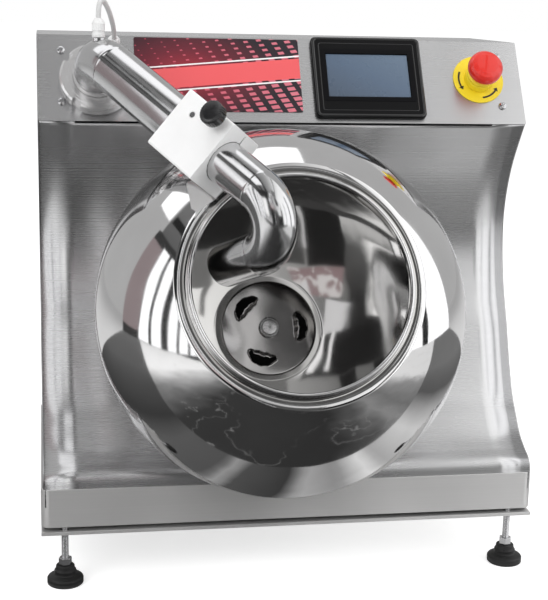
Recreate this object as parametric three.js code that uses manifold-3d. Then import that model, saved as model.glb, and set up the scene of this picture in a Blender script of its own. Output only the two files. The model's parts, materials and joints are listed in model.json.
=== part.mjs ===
// Tabletop chocolate panning machine: a sheet steel cabinet, a tilted polished drum and an air duct.
// Millimetres, +Z up, the operator stands on the -Y side.
// The origin lies on the ground under the middle of the whole machine.
import * as THREE from "three";
import { mergeVertices } from "three/addons/utils/BufferGeometryUtils.js";
import Module from "manifold-3d";

const wasm = await Module();
wasm.setup();

// Shared values
const degree = Math.PI / 180;
const quarterTurn = Math.PI / 2;
const fullTurn = Math.PI * 2;
const fit = 0.3;
const overrun = 6;
const weldTolerance = 0.001;
const sheet = 1.5;

// Cabinet
const bodyWidth = 556;
const baseUnderside = 59.3;
const baseThickness = 4;
const baseLip = 1;
const shadowGap = 4.7;
const plinthHeight = 43.7;
const plinthCorner = 10;
const bandSheet = 2.2;
const plinthWidth = bodyWidth + (bandSheet + fit) * 2;
const baseTop = baseUnderside + baseThickness;
const plinthBottom = baseTop + shadowGap;
const plinthTop = plinthBottom + plinthHeight;

// Height of the drum's middle and of the cabinet's top, both following the drum
const drumRadius = 201.5;
const drumSink = 43.1;
const headroom = 123.4;
const drumZ = plinthTop + drumRadius - drumSink;
const topHeight = drumZ + drumRadius + headroom;

// Sloping control panel along the top edge of the front
const panelTilt = 31.9 * degree;
const panelSlant = 106.7;
const panelTopY = 141.3;
const panelInset = 1;
const panelWidth = bodyWidth - panelInset * 2;
const panelReturn = 20;
const panelFootY = panelTopY - panelSlant * Math.sin(panelTilt);
const panelFootZ = topHeight - panelSlant * Math.cos(panelTilt);

// Hollow front skin
const hollowDepth = 144;
const skinInset = sheet + fit;
const skinOverlap = 20;
const slotInset = 40;
const slotWidth = bodyWidth - slotInset * 2;
const slotHeight = 2.2;
const hollowShares = [
  [0.05, 0.034],
  [0.165, 0.055],
  [0.2875, 0.0835],
  [0.413, 0.134],
  [0.53, 0.188],
  [0.649, 0.277],
  [0.774, 0.3925],
  [0.875, 0.475],
  [0.946, 0.55],
  [0.99, 0.6275],
  [0.998, 0.707],
  [0.952, 0.793],
  [0.842, 0.884],
  [0.628, 1],
];
const hollowSteps = 28;

// Levelling feet
const footInsetX = 25.6;
const footFrontY = 7.8;
const footRearInset = 26;
const padRadius = 20;
const padEdge = 8;
const padHeight = 22;
const padBossRadius = 11;
const studRadius = 4;
const studRise = 8;
const footHexRadius = 7.5;
const footHexHeight = 8;

// Drum, measured along its own axis from the inside of its back
const ductInset = 64.1;
const drumAcross = 192.4;
const ductX = ductInset - panelWidth / 2;
const drumX = ductX + drumAcross;
const drumY = 75.7;
const drumTilt = 25.8 * degree;
const drumWall = 2;
const equatorHeight = 90;
const mouthHeight = 218;
const frontReach = 156;
const collarRadius = 126;
const collarDish = 0.8;
const mouthRadius = 110.4;
const rimBead = 2.3;
const backFlatRadius = 60;
const drumSteps = 7;
const backSteps = 3;
const frontSteps = 4;
const beadSteps = 5;
const drumSides = 36;
const hubHoleRadius = 36;

// Back plate inside the drum and its three pressed scoops
const backPlateRadius = 55.4;
const backPlateThickness = 2.5;
const backPlateEdge = 1;
const scoopOrbitShare = 0.66;
const scoopLength = 17;
const scoopBreadth = 7.5;
const scoopHeight = 5;
const scoopAngles = [137 * degree, 2 * degree, 254 * degree];
const hubCapRadius = 11.8;
const hubCapHeight = 6;
const hubCapRound = 1.5;
const hubCapDimple = 3;

// Drive behind the front skin
const hubFlangeRadius = 46;
const hubFlangeThickness = 7;
const hubBossRadius = 27;
const hubBossLength = 11;
const shaftRadius = 15;
const shaftLength = 100;
const skinStandoff = 34.5;
const sealRadius = 42;
const sealThickness = 5;
const sealGap = 4;
const skinHoleRadius = 34;
const bracketDistance = 54;
const bracketThickness = 8;
const bracketWidth = 170;
const bracketRise = 90;
const bracketReach = 160;
const bracketHoleRadius = 32;
const gussetThickness = 6;
const gussetDepth = 150;
const gussetDropShare = 0.3;
const bearingRadius = 38;
const bearingFlange = 52;
const bearingFlangeThickness = 6;
const bearingNose = 12.4;
const gearboxSize = 100;
const gearboxLength = 74;
const gearboxCorner = 12;
const driveMotorRadius = 54;
const driveMotorLength = 84;
const driveMotorFins = 16;
const finDepth = 3;
const driveRearGap = 22.2;
const driveLength = bracketDistance + bracketThickness + gearboxLength + driveMotorLength + fit * 2;
const driveRearY = drumY + driveLength * Math.cos(drumTilt) + driveMotorRadius * Math.sin(drumTilt);
const cabinetDepth = driveRearY + driveRearGap;

// Air duct: union on the panel, bent tube, clamp block and nozzle
const ductDown = 61;
const ductRise = 60;
const ductRadius = 25.4;
const ductWall = 1.5;
const ductBendRadius = 40;
const ductHeading = -54.46 * degree;
const ductBend = 66.95 * degree;
const flangeRadius = 37;
const flangeThickness = 3.4;
const spigotRadius = 28;
const spigotHeight = 12;
const spigotDepth = 16;
const ductCollar = 3;
const unionRadius = 41;
const unionHeight = 15;
const unionChamfer = 2;
const unionSlots = 4;
const unionSlotWidth = 11;
const unionSlotDepth = 5;
const unionSlotTurn = 54 * degree;
const blockRoll = -154.04 * degree;
const blockStart = 147;
const blockLength = 69;
const blockWidth = 68;
const blockThickness = 54;
const blockEdge = 2.5;
const ductEngagement = 36;
const nozzleRadius = 22.2;
const nozzleWall = 1.5;
const nozzleEngagement = 34;
const nozzleReach = 55;
const nozzleBendRadius = 34;
const nozzleBend = 133.5 * degree;
const nozzleRoll = -26.3 * degree;
const nozzleTail = 60;
const clampSlit = 2;
const clampSlitLength = 34;
const setScrewRadius = 3;
const setScrewAlong = 22;
const setScrewAcross = 15;
const setScrewLength = 4.2;
const setScrewSocket = 1.4;
const setScrewSocketDepth = 2.4;
const knobInset = 16;
const knobAcross = 28;
const knobRadius = 12.5;
const knobHeight = 14;
const knobStandoff = 7;
const knobStudRadius = 3;
const knobStudDepth = 50;
const knobFlutes = 12;
const knobFluteRadius = 1.4;
const knobEdge = 1.5;

// Cable glands and the short sensor cable between them
const glandBodyRadius = 6;
const glandNutRadius = 7;
const glandBodyHeight = 7;
const glandNutHeight = 9;
const glandDomeHeight = 4;
const probeGlandRise = 20;
const glandShankRadius = 4;
const glandShankLength = 8;
const panelGlandAcross = 19.4;
const panelGlandX = ductX + panelGlandAcross;
const panelGlandDown = 15;
const cableRadius = 2.7;
const cableRise = 46;
const cableBack = 34;
const cableSteps = 14;
const probeRadius = 2;
const probeLength = 26;

// Operator panel
const panelScrewInset = 25.5;
const panelScrewX = panelWidth / 2 - panelScrewInset;
const panelScrewTop = 20;
const panelScrewFootInset = 23.1;
const panelScrewFoot = panelSlant - panelScrewFootInset;
const panelScrewRadius = 4.6;
const panelScrewHead = 3;
const panelScrewShank = 2.4;
const panelScrewLength = 9;
const stopInset = 50.9;
const stopDown = 50;
const stopLabelRadius = 30;
const stopX = panelWidth / 2 - stopInset;
const displayGap = 37.6;
const displayDown = 51;
const bezelWidth = 128;
const bezelHeight = 102;
const bezelThickness = 6;
const bezelCorner = 6;
const bezelEdge = 1.2;
const screenWidth = 95.5;
const screenHeight = 54.3;
const screenOffset = 2;
const screenRecess = 1.2;
const screenThickness = 2.5;
const displayCutWidth = 112;
const displayCutHeight = 76;
const displayCaseDepth = 28;
const displayX = stopX - stopLabelRadius - displayGap - bezelWidth / 2;
const labelGap = 14.2;
const labelUnionGap = 1.2;
const labelDown = 48;
const labelHeight = 92;
const labelThickness = 0.8;
const labelCorner = 2;
const labelRight = displayX - bezelWidth / 2 - labelGap;
const labelLeft = ductX + unionRadius + labelUnionGap;
const labelWidth = labelRight - labelLeft;
const labelX = (labelRight + labelLeft) / 2;
const stopLabelThickness = 1;
const stopHoleRadius = 11;
const stopCollarRadius = 17;
const stopCollarHeight = 16;
const stopCollarChamfer = 2;
const stopStemRadius = 9;
const stopHeadRadius = 20;
const stopHeadGap = 6;
const stopHeadHeight = 15;
const stopHeadSkirt = 7;
const stopHeadChamfer = 2;
const stopStemDepth = 12;
const stopBlockSize = 32;
const stopBlockDepth = 34;

// Air blower behind the panel
const blowerRadius = 62;
const blowerWidth = 56;
const blowerWall = 2;
const blowerDepth = 110;
const blowerEyeRadius = 26;
const blowerFlange = 72;
const blowerMotorRadius = 36;
const blowerMotorLength = 74;
const blowerMotorFoot = 4;
const blowerMotorFootRadius = 44;
const blowerShaftRadius = 4;
const blowerShaftLength = 30;
const impellerRadius = 48;
const impellerWidth = 38;
const impellerGap = 7;
const impellerBlades = 10;
const bladeThickness = 2;
const bladeDepth = 16;
const impellerDisc = 3;
const impellerHubRadius = 11;
const impellerHubLength = 22;

// Rear and inside of the cabinet
const louvreColumns = 2;
const louvreRows = 7;
const louvreWidth = 120;
const louvreHeight = 7;
const louvrePitch = 20;
const louvreColumnPitch = 190;
const louvreDrop = 125;
const rearGlandInset = 73;
const rearGlandX = bodyWidth / 2 - rearGlandInset;
const rearGlandZ = 118;
const rearGlandRadius = 11;
const rearGlandThread = 8;
const rearGlandStep = 1.5;
const rearGlandLength = 20;
const rearGlandBore = 5;
const rearGlandDepth = 12;
const controlBoxWidth = 58;
const controlBoxLength = 130;
const controlBoxHeight = 170;
const controlBoxRearGap = 30;
const controlBoxZ = 200;
const coverLip = 15;

// Materials
const steel = { color: 0xb9babb, roughness: 0.34, metalness: 1 };
const mirrorSteel = { color: 0xcfcfd0, roughness: 0.07, metalness: 1 };
const tubeSteel = { color: 0xc4c4c5, roughness: 0.16, metalness: 1 };
const castSteel = { color: 0x8d9092, roughness: 0.5, metalness: 1 };
const whitePlastic = { color: 0xf1f1ef, roughness: 0.45, metalness: 0 };
const blackPlastic = { color: 0x141516, roughness: 0.5, metalness: 0 };
const blackRubber = { color: 0x1b1b1c, roughness: 0.8, metalness: 0 };
const screenGlass = { color: 0x55687c, roughness: 0.12, metalness: 0 };
const labelFilm = { color: 0x8f1a30, roughness: 0.4, metalness: 0 };
const yellowPlastic = { color: 0xf3d51e, roughness: 0.45, metalness: 0 };
const redPlastic = { color: 0xdd3524, roughness: 0.3, metalness: 0 };
const greyPaint = { color: 0x5a6066, roughness: 0.55, metalness: 0 };

// A closed copy of a geometry with shared corners and its faces pointing out
function closed(geometry) {
  const bare = geometry.clone();
  bare.deleteAttribute("normal");
  bare.deleteAttribute("uv");
  const merged = mergeVertices(bare, weldTolerance);
  const place = merged.attributes.position;
  const kept = [];
  const a = new THREE.Vector3();
  const b = new THREE.Vector3();
  const c = new THREE.Vector3();
  let volume = 0;
  for (let i = 0; i < merged.index.count; i += 3) {
    const corner = [merged.index.getX(i), merged.index.getX(i + 1), merged.index.getX(i + 2)];
    if (corner[0] === corner[1] || corner[1] === corner[2] || corner[2] === corner[0]) continue;
    a.fromBufferAttribute(place, corner[0]);
    b.fromBufferAttribute(place, corner[1]);
    c.fromBufferAttribute(place, corner[2]);
    volume += a.dot(b.cross(c));
    kept.push(corner);
  }
  const facing = volume < 0 ? kept.map(([p, q, r]) => [p, r, q]) : kept;
  merged.setIndex(facing.flat());
  return merged;
}

function solid(geometry) {
  const whole = closed(geometry);
  const vertProperties = new Float32Array(whole.attributes.position.array);
  const triVerts = new Uint32Array(whole.index.array);
  return new wasm.Manifold(new wasm.Mesh({ numProp: 3, vertProperties, triVerts }));
}

function fromSolid(body) {
  const mesh = body.getMesh();
  const geometry = new THREE.BufferGeometry();
  geometry.setAttribute("position", new THREE.BufferAttribute(mesh.vertProperties, 3));
  geometry.setIndex(new THREE.BufferAttribute(mesh.triVerts, 1));
  return geometry;
}

function cut(base, ...tools) {
  let body = solid(base);
  for (const tool of tools) body = body.subtract(solid(tool));
  return fromSolid(body);
}

function join(...pieces) {
  let body = solid(pieces[0]);
  for (const piece of pieces.slice(1)) body = body.add(solid(piece));
  return fromSolid(body);
}

// Basic forms, all standing on z = 0 and centred on x and y
function block(x, y, z) {
  return new THREE.BoxGeometry(x, y, z).translate(0, 0, z / 2);
}

function rod(radius, height, sides = 24) {
  return new THREE.CylinderGeometry(radius, radius, height, sides)
    .rotateX(quarterTurn)
    .translate(0, 0, height / 2);
}

// A faceted hole whose flats still clear a round shaft of the given radius
function bore(radius, height, sides = 16) {
  return rod(radius / Math.cos(Math.PI / sides), height, sides);
}

function revolve(profile, sides = 32) {
  const points = profile.map(([r, z]) => new THREE.Vector2(r, z));
  return new THREE.LatheGeometry(points, sides).rotateX(quarterTurn);
}

function roundedOutline(width, height, corner) {
  const x = width / 2;
  const y = height / 2;
  const shape = new THREE.Shape();
  shape.absarc(x - corner, y - corner, corner, 0, quarterTurn);
  shape.absarc(-x + corner, y - corner, corner, quarterTurn, quarterTurn * 2);
  shape.absarc(-x + corner, -y + corner, corner, quarterTurn * 2, quarterTurn * 3);
  shape.absarc(x - corner, -y + corner, corner, quarterTurn * 3, fullTurn);
  return shape;
}

function plate(outline, thickness, curveSegments = 5) {
  return new THREE.ExtrudeGeometry(outline, { depth: thickness, bevelEnabled: false, curveSegments });
}

// A sheet bent along a line of (y, z) points, running across the machine
function foldedSheet(line, width, thickness, side = 1) {
  const inner = offsetLine(line, thickness * side);
  const outline = [...line, ...inner.reverse()].map(([y, z]) => new THREE.Vector2(y, z));
  const geometry = plate(new THREE.Shape(outline), width);
  geometry.applyMatrix4(new THREE.Matrix4().set(0, 0, 1, -width / 2, 1, 0, 0, 0, 0, 1, 0, 0, 0, 0, 0, 1));
  return geometry;
}

// The same line moved to its left by a distance, with its corners mitred
function offsetLine(line, distance) {
  const normals = [];
  for (let i = 0; i < line.length - 1; i += 1) {
    const dy = line[i + 1][0] - line[i][0];
    const dz = line[i + 1][1] - line[i][1];
    const length = Math.hypot(dy, dz);
    normals.push([-dz / length, dy / length]);
  }
  return line.map(([y, z], i) => {
    const before = normals[Math.max(i - 1, 0)];
    const after = normals[Math.min(i, normals.length - 1)];
    const dot = before[0] * after[0] + before[1] * after[1];
    const reach = distance / (1 + dot);
    return [y + (before[0] + after[0]) * reach, z + (before[1] + after[1]) * reach];
  });
}

// A circular bend in space between two straight runs that meet at a corner
class Bend extends THREE.Curve {
  constructor(start, into, toward, radius, angle) {
    super();
    Object.assign(this, { start, into, toward, radius, angle });
  }

  getPoint(t, target = new THREE.Vector3()) {
    const turn = this.angle * t;
    target.copy(this.start).addScaledVector(this.into, this.radius * Math.sin(turn));
    return target.addScaledVector(this.toward, this.radius * (1 - Math.cos(turn)));
  }
}

function pipe(curves, radius, wall, steps, sides = 10) {
  const route = new THREE.CurvePath();
  for (const curve of curves) route.add(curve);
  const ring = new THREE.Shape().absarc(0, 0, radius, 0, fullTurn);
  if (wall > 0) ring.holes.push(new THREE.Path().absarc(0, 0, radius - wall, 0, fullTurn));
  return new THREE.ExtrudeGeometry(ring, { steps, extrudePath: route, curveSegments: sides });
}

// Frames: the sloping panel, the drum axis, and the duct with its arm
const machine = new THREE.Group();
const panel = new THREE.Group();
const drumFrame = new THREE.Group();
const ductFrame = new THREE.Group();
const arm = new THREE.Group();
panel.position.set(0, panelTopY, topHeight);
panel.rotation.x = quarterTurn - panelTilt;
drumFrame.position.set(drumX, drumY, drumZ);
drumFrame.rotation.x = quarterTurn - drumTilt;
ductFrame.position.set(ductX, -ductDown, 0);
ductFrame.rotation.z = ductHeading;
arm.position.set(0, 0, ductRise);
arm.rotation.y = ductBend;
ductFrame.add(arm);
panel.add(ductFrame);
machine.add(panel, drumFrame);
machine.updateMatrixWorld(true);

function add(parent, name, geometry, finish, x = 0, y = 0, z = 0) {
  const mesh = new THREE.Mesh(closed(geometry), new THREE.MeshStandardMaterial(finish));
  mesh.name = name;
  mesh.position.set(x, y, z);
  mesh.geometry.computeVertexNormals();
  parent.add(mesh);
  return mesh;
}

// Base plate with a threaded hole over each foot
const halfWidth = bodyWidth / 2;
const footX = plinthWidth / 2 - footInsetX;
const footRearY = cabinetDepth - footRearInset;
const feet = [
  ["front_left", -footX, footFrontY],
  ["front_right", footX, footFrontY],
  ["rear_left", -footX, footRearY],
  ["rear_right", footX, footRearY],
];
const baseLength = cabinetDepth + baseLip;
const basePlate = block(plinthWidth, baseLength, baseThickness)
  .translate(0, baseLength / 2 - baseLip, baseUnderside);
const footHole = bore(studRadius + fit, baseThickness + overrun * 2, 12)
  .translate(0, 0, baseUnderside - overrun);
const footHoles = feet.map(([, x, y]) => footHole.clone().translate(x, y, 0));
add(machine, "base_plate", cut(basePlate, ...footHoles), steel);

// Levelling feet: a pad and a threaded stud with a hexagon
for (const [name, x, y] of feet) {
  const pad = revolve([
    [0, 0],
    [padRadius, 0],
    [padRadius, padEdge],
    [padRadius - studRadius / 2, padEdge + studRadius / 2],
    [padBossRadius + studRadius / 2, padEdge + studRadius],
    [padBossRadius, padHeight - studRadius],
    [padBossRadius, padHeight],
    [0, padHeight],
  ], 16);
  add(machine, `foot_${name}_pad`, pad, blackRubber, x, y, 0);
  const studLength = baseTop + studRise - padHeight - fit;
  const hex = rod(footHexRadius, footHexHeight, 6);
  const stud = join(rod(studRadius, studLength, 12), hex);
  add(machine, `foot_${name}_stud`, stud, tubeSteel, x, y, padHeight + fit);
}

// Plinth band round the front and both sides, with rounded upright corners
const bandLength = cabinetDepth + plinthCorner;
const outerBand = plate(roundedOutline(plinthWidth, bandLength * 2, plinthCorner), plinthHeight, 4);
const bandHollow = roundedOutline(
  plinthWidth - bandSheet * 2,
  (bandLength - bandSheet) * 2,
  plinthCorner - bandSheet,
);
const innerBand = plate(bandHollow, plinthHeight + overrun * 2, 4).translate(0, 0, -overrun);
const bandRear = block(plinthWidth + overrun * 2, bandLength * 2, plinthHeight + overrun * 2);
bandRear.translate(0, cabinetDepth, -overrun);
add(machine, "plinth_band", cut(outerBand, innerBand, bandRear), steel, 0, bandLength, plinthBottom);

// What stands inside the band keeps clear of its rounded corners
const bandInset = bandSheet + fit;
const insideOutline = roundedOutline(
  plinthWidth - bandInset * 2,
  (bandLength - bandInset) * 2,
  plinthCorner - bandInset,
);
const insideBand = plate(insideOutline, plinthTop + overrun, 4);
const aroundBand = cut(
  block(plinthWidth * 2, plinthWidth * 4, plinthTop + fit),
  insideBand.translate(0, 0, -overrun / 2),
);
aroundBand.translate(0, bandLength, 0);

// Hollow front skin, open along its top edge and round the drum shaft
const skinFootY = bandSheet + fit;
const hollowTop = panelFootZ - fit;
const hollowKnots = hollowShares.map(
  ([y, z]) => [hollowDepth * y, plinthTop + (hollowTop - plinthTop) * z],
);
const hollowPoints = [[skinFootY, plinthTop], ...hollowKnots].map(([y, z]) => new THREE.Vector2(y, z));
const hollowCurve = new THREE.SplineCurve(hollowPoints);
const hollow = hollowCurve.getPoints(hollowSteps).map((p) => [p.x, p.y]);
const skinWidth = bodyWidth - skinInset * 2;
const skinSheet = foldedSheet([[skinFootY, plinthTop - skinOverlap], ...hollow], skinWidth, sheet, -1);
const slot = block(slotWidth, hollowDepth, slotHeight + overrun)
  .translate(0, hollowDepth, hollowTop - slotHeight);
const aboveSkin = block(bodyWidth, hollowDepth * 2, overrun * 2).translate(0, hollowDepth, hollowTop);
const shaftHole = rod(skinHoleRadius, skinStandoff * 2, 32).translate(0, 0, -skinStandoff * 2);
shaftHole.translate(0, 0, skinStandoff / 2).applyMatrix4(drumFrame.matrixWorld);
add(machine, "front_skin", cut(skinSheet, slot, aboveSkin, shaftHole, aroundBand), steel);

// Control panel, top cover and side walls share one folded outline
const rearFace = cabinetDepth - skinInset;
const panelLine = [
  [panelTopY + panelReturn, topHeight],
  [panelTopY, topHeight],
  [panelFootY, panelFootZ],
  [panelFootY + panelReturn, panelFootZ],
];
const [, underFold, underFoot, underReturn] = offsetLine(panelLine, skinInset);
const [, underReturnZ] = underReturn;
const notchY = panelFootY + panelReturn + fit;
const wallOutline = [
  [skinFootY, baseTop + fit],
  ...hollow,
  [notchY, hollowTop],
  [notchY, underReturnZ],
  underFoot,
  underFold,
  [rearFace - skinInset, topHeight - skinInset],
  [rearFace - skinInset, baseTop + fit],
];
const wallShape = new THREE.Shape(wallOutline.map(([y, z]) => new THREE.Vector2(y, z)));
const wall = plate(wallShape, sheet)
  .applyMatrix4(new THREE.Matrix4().set(0, 0, 1, 0, 1, 0, 0, 0, 0, 1, 0, 0, 0, 0, 0, 1));
add(machine, "left_side", cut(wall.clone().translate(-halfWidth, 0, 0), aroundBand), steel);
add(machine, "right_side", cut(wall.clone().translate(halfWidth - sheet, 0, 0), aroundBand), steel);

const coverLine = [
  [panelTopY + panelReturn + fit, topHeight],
  [cabinetDepth, topHeight],
  [cabinetDepth, topHeight - coverLip],
];
add(machine, "top_cover", foldedSheet(coverLine, bodyWidth, sheet, -1), steel);

// Rear panel with louvre slots and the hole for the mains gland
const rearFoot = baseTop + fit;
const rearHeight = topHeight - skinInset - rearFoot;
const rearSheet = block(bodyWidth, sheet, rearHeight).translate(0, rearFace - sheet / 2, rearFoot);
const rearTools = [];
for (let column = 0; column < louvreColumns; column += 1) {
  for (let row = 0; row < louvreRows; row += 1) {
    const x = (column - (louvreColumns - 1) / 2) * louvreColumnPitch;
    const slit = block(louvreWidth, sheet + overrun * 2, louvreHeight);
    rearTools.push(slit.translate(x, rearFace - sheet / 2, topHeight - louvreDrop - row * louvrePitch));
  }
}
const backward = new THREE.Matrix4().makeRotationX(-quarterTurn);
const glandHole = bore(rearGlandThread + fit, sheet + overrun * 2, 20).translate(0, 0, -overrun - sheet);
rearTools.push(glandHole.applyMatrix4(backward).translate(rearGlandX, rearFace, rearGlandZ));
add(machine, "rear_panel", cut(rearSheet, ...rearTools), steel);

const mainsGland = cut(
  revolve([
    [0, -rearGlandDepth],
    [rearGlandThread, -rearGlandDepth],
    [rearGlandThread, fit],
    [rearGlandRadius, fit],
    [rearGlandRadius, rearGlandLength / 2],
    [rearGlandRadius - rearGlandStep, rearGlandLength / 2],
    [rearGlandRadius - rearGlandStep, rearGlandLength - rearGlandStep],
    [rearGlandRadius - rearGlandStep * 2, rearGlandLength],
    [0, rearGlandLength],
  ], 16),
  rod(rearGlandBore, rearGlandDepth + rearGlandLength + overrun * 2, 16)
    .translate(0, 0, -rearGlandDepth - overrun),
);
const mainsGlandMesh = add(
  machine,
  "mains_gland",
  mainsGland,
  blackPlastic,
  rearGlandX,
  rearFace,
  rearGlandZ,
);
mainsGlandMesh.rotation.x = -quarterTurn;

// Control box on the inside of the right wall
const controlBox = block(controlBoxWidth, controlBoxLength, controlBoxHeight);
const controlBoxX = halfWidth - skinInset - controlBoxWidth / 2;
const controlBoxY = cabinetDepth - controlBoxRearGap - controlBoxLength / 2;
add(machine, "control_box", controlBox, greyPaint, controlBoxX, controlBoxY, controlBoxZ);

// Sloping control panel with its cut-outs
const onPanel = (geometry) => geometry.applyMatrix4(panel.matrixWorld);
const panelBand = foldedSheet(panelLine, panelWidth, sheet);
const trimLength = panelReturn * 2;
const panelTools = [-1, 1].map((side) => {
  const trim = block(skinInset + overrun, trimLength, sheet + fit + overrun);
  const trimX = side * (halfWidth + overrun / 2 - skinInset / 2);
  return trim.translate(trimX, panelFootY + sheet * 2 + trimLength / 2, panelFootZ - overrun);
});
const through = sheet + overrun * 2;
const panelHole = (radius, x, down) =>
  onPanel(bore(radius, through, 16).translate(x, -down, -sheet - overrun));
panelTools.push(
  panelHole(ductRadius + fit, ductX, ductDown),
  panelHole(glandShankRadius + fit, panelGlandX, panelGlandDown),
  panelHole(stopHoleRadius, stopX, stopDown),
  onPanel(
    block(displayCutWidth, displayCutHeight, through).translate(displayX, -displayDown, -sheet - overrun),
  ),
);
const panelScrews = [
  [-panelScrewX, panelScrewTop],
  [panelScrewX, panelScrewTop],
  [-panelScrewX, panelScrewFoot],
  [panelScrewX, panelScrewFoot],
];
for (const [x, down] of panelScrews) panelTools.push(panelHole(panelScrewShank + fit, x, down));
add(machine, "control_panel", cut(panelBand, ...panelTools), steel);

panelScrews.forEach(([x, down], index) => {
  const screw = revolve([
    [0, -panelScrewLength],
    [panelScrewShank, -panelScrewLength],
    [panelScrewShank, fit],
    [panelScrewRadius, fit],
    [panelScrewRadius, panelScrewHead / 2],
    [panelScrewRadius - panelScrewHead / 2, panelScrewHead],
    [0, panelScrewHead],
  ], 12);
  add(panel, `panel_screw_${index + 1}`, screw, tubeSteel, x, -down, 0);
});

// Printed label, display and its bezel
add(panel, "label_plate", plate(roundedOutline(labelWidth, labelHeight, labelCorner), labelThickness, 3),
  labelFilm, labelX, -labelDown, fit);

const screenOpening = block(screenWidth + fit * 2, screenHeight + fit * 2, bezelThickness + overrun * 2);
screenOpening.translate(0, screenOffset, -overrun);
const bezelBody = plate(
  roundedOutline(bezelWidth, bezelHeight, bezelCorner),
  bezelThickness - fit - bezelEdge,
);
const bezelFace = roundedOutline(
  bezelWidth - bezelEdge * 2,
  bezelHeight - bezelEdge * 2,
  bezelCorner - bezelEdge,
);
const bezelTop = plate(bezelFace, bezelThickness - fit);
add(
  panel,
  "display_bezel",
  cut(join(bezelBody, bezelTop), screenOpening),
  blackPlastic,
  displayX,
  -displayDown,
  fit,
);

const screenTop = bezelThickness - screenRecess;
const screen = block(screenWidth, screenHeight, screenThickness);
add(
  panel,
  "display_screen",
  screen,
  screenGlass,
  displayX,
  -displayDown + screenOffset,
  screenTop - screenThickness,
);

const casePad = block(screenWidth, screenHeight, screenTop - screenThickness - fit + displayCaseDepth);
const caseBody = join(
  block(displayCutWidth - fit * 2, displayCutHeight - fit * 2, displayCaseDepth),
  casePad.translate(0, screenOffset, 0),
);
add(panel, "display_case", caseBody, blackPlastic, displayX, -displayDown, -displayCaseDepth);

// Stop button: label ring, collar, sprung mushroom head and its contact block
const stopBase = fit + stopLabelThickness + fit;
const stopRing = cut(
  rod(stopLabelRadius, stopLabelThickness, 32),
  rod(stopHoleRadius, overrun * 2, 24).translate(0, 0, -overrun),
);
add(panel, "stop_label", stopRing, yellowPlastic, stopX, -stopDown, fit);

const stopCollar = revolve([
  [stopStemRadius + fit, 0],
  [stopCollarRadius, 0],
  [stopCollarRadius, stopCollarHeight - stopCollarChamfer],
  [stopCollarRadius - stopCollarChamfer, stopCollarHeight],
  [stopStemRadius + fit, stopCollarHeight],
  [stopStemRadius + fit, 0],
], 20);
add(panel, "stop_collar", stopCollar, yellowPlastic, stopX, -stopDown, stopBase);

const headBase = stopBase + stopCollarHeight + stopHeadGap;
const stopButton = revolve([
  [0, -stopStemDepth],
  [stopStemRadius, -stopStemDepth],
  [stopStemRadius, headBase],
  [stopHeadRadius - stopHeadChamfer, headBase],
  [stopHeadRadius, headBase + stopHeadChamfer],
  [stopHeadRadius, headBase + stopHeadSkirt],
  [stopHeadRadius - stopHeadChamfer, headBase + stopHeadHeight - stopHeadChamfer * 2],
  [stopHeadRadius - stopHeadChamfer * 3, headBase + stopHeadHeight - stopHeadChamfer / 2],
  [stopHeadRadius / 3, headBase + stopHeadHeight],
  [0, headBase + stopHeadHeight],
], 20);
add(panel, "stop_button", stopButton, redPlastic, stopX, -stopDown, 0);

const stopBore = bore(stopStemRadius + fit, stopStemDepth + stopHeadGap, 24)
  .translate(0, 0, -stopStemDepth - stopHeadGap);
const stopBlock = block(stopBlockSize, stopBlockSize, stopBlockDepth)
  .translate(0, 0, -stopBlockDepth - skinInset);
add(panel, "stop_block", cut(stopBlock, stopBore), blackPlastic, stopX, -stopDown, 0);

// Duct flange in the panel and the slotted union nut that holds the bent tube
const flange = revolve([
  [ductRadius - ductWall, -spigotDepth],
  [ductRadius, -spigotDepth],
  [ductRadius, fit],
  [flangeRadius, fit],
  [flangeRadius, flangeThickness],
  [spigotRadius, flangeThickness],
  [spigotRadius, spigotHeight],
  [ductRadius - ductWall, spigotHeight],
  [ductRadius - ductWall, -spigotDepth],
], 24);
add(ductFrame, "duct_flange", flange, tubeSteel);

const unionFoot = flangeThickness + fit;
const unionCap = spigotHeight + fit + ductCollar + fit;
let union = revolve([
  [spigotRadius + fit, unionFoot],
  [unionRadius - unionChamfer, unionFoot],
  [unionRadius, unionFoot + unionChamfer],
  [unionRadius, unionFoot + unionHeight - unionChamfer],
  [unionRadius - unionChamfer, unionFoot + unionHeight],
  [ductRadius + fit, unionFoot + unionHeight],
  [ductRadius + fit, unionCap],
  [spigotRadius + fit, unionCap],
  [spigotRadius + fit, unionFoot],
], 28);
const unionCuts = [];
for (let i = 0; i < unionSlots; i += 1) {
  const notch = block(unionSlotDepth * 2, unionSlotWidth, unionHeight + overrun * 2);
  notch.translate(unionRadius, 0, unionFoot - overrun);
  unionCuts.push(notch.rotateZ(unionSlotTurn - ductHeading + (i * fullTurn) / unionSlots));
}
union = cut(union, ...unionCuts);
add(ductFrame, "union_nut", union, tubeSteel);

// Bent duct tube with its collar and the boss that carries the probe gland
const upward = new THREE.Vector3(0, 0, 1);
const sideways = new THREE.Vector3(1, 0, 0);
function bentRoute(straight, radius, angle, reach, start = 0) {
  const bendStart = new THREE.Vector3(0, 0, straight);
  const bend = new Bend(bendStart, upward, sideways, radius, angle);
  const bendEnd = bend.getPoint(1);
  const heading = new THREE.Vector3(Math.sin(angle), 0, Math.cos(angle));
  const end = bendEnd.clone().addScaledVector(heading, reach);
  return [
    new THREE.LineCurve3(new THREE.Vector3(0, 0, start), bendStart),
    bend,
    new THREE.LineCurve3(bendEnd, end),
  ];
}
const ductTangent = ductBendRadius * Math.tan(ductBend / 2);
const ductRun = blockStart + ductEngagement - ductTangent;
const ductStart = spigotHeight + fit;
const ductStraight = ductRise - ductTangent;
const ductOuter = pipe(
  bentRoute(ductStraight, ductBendRadius, ductBend, ductRun, ductStart),
  ductRadius,
  0,
  12,
  8,
);
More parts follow.
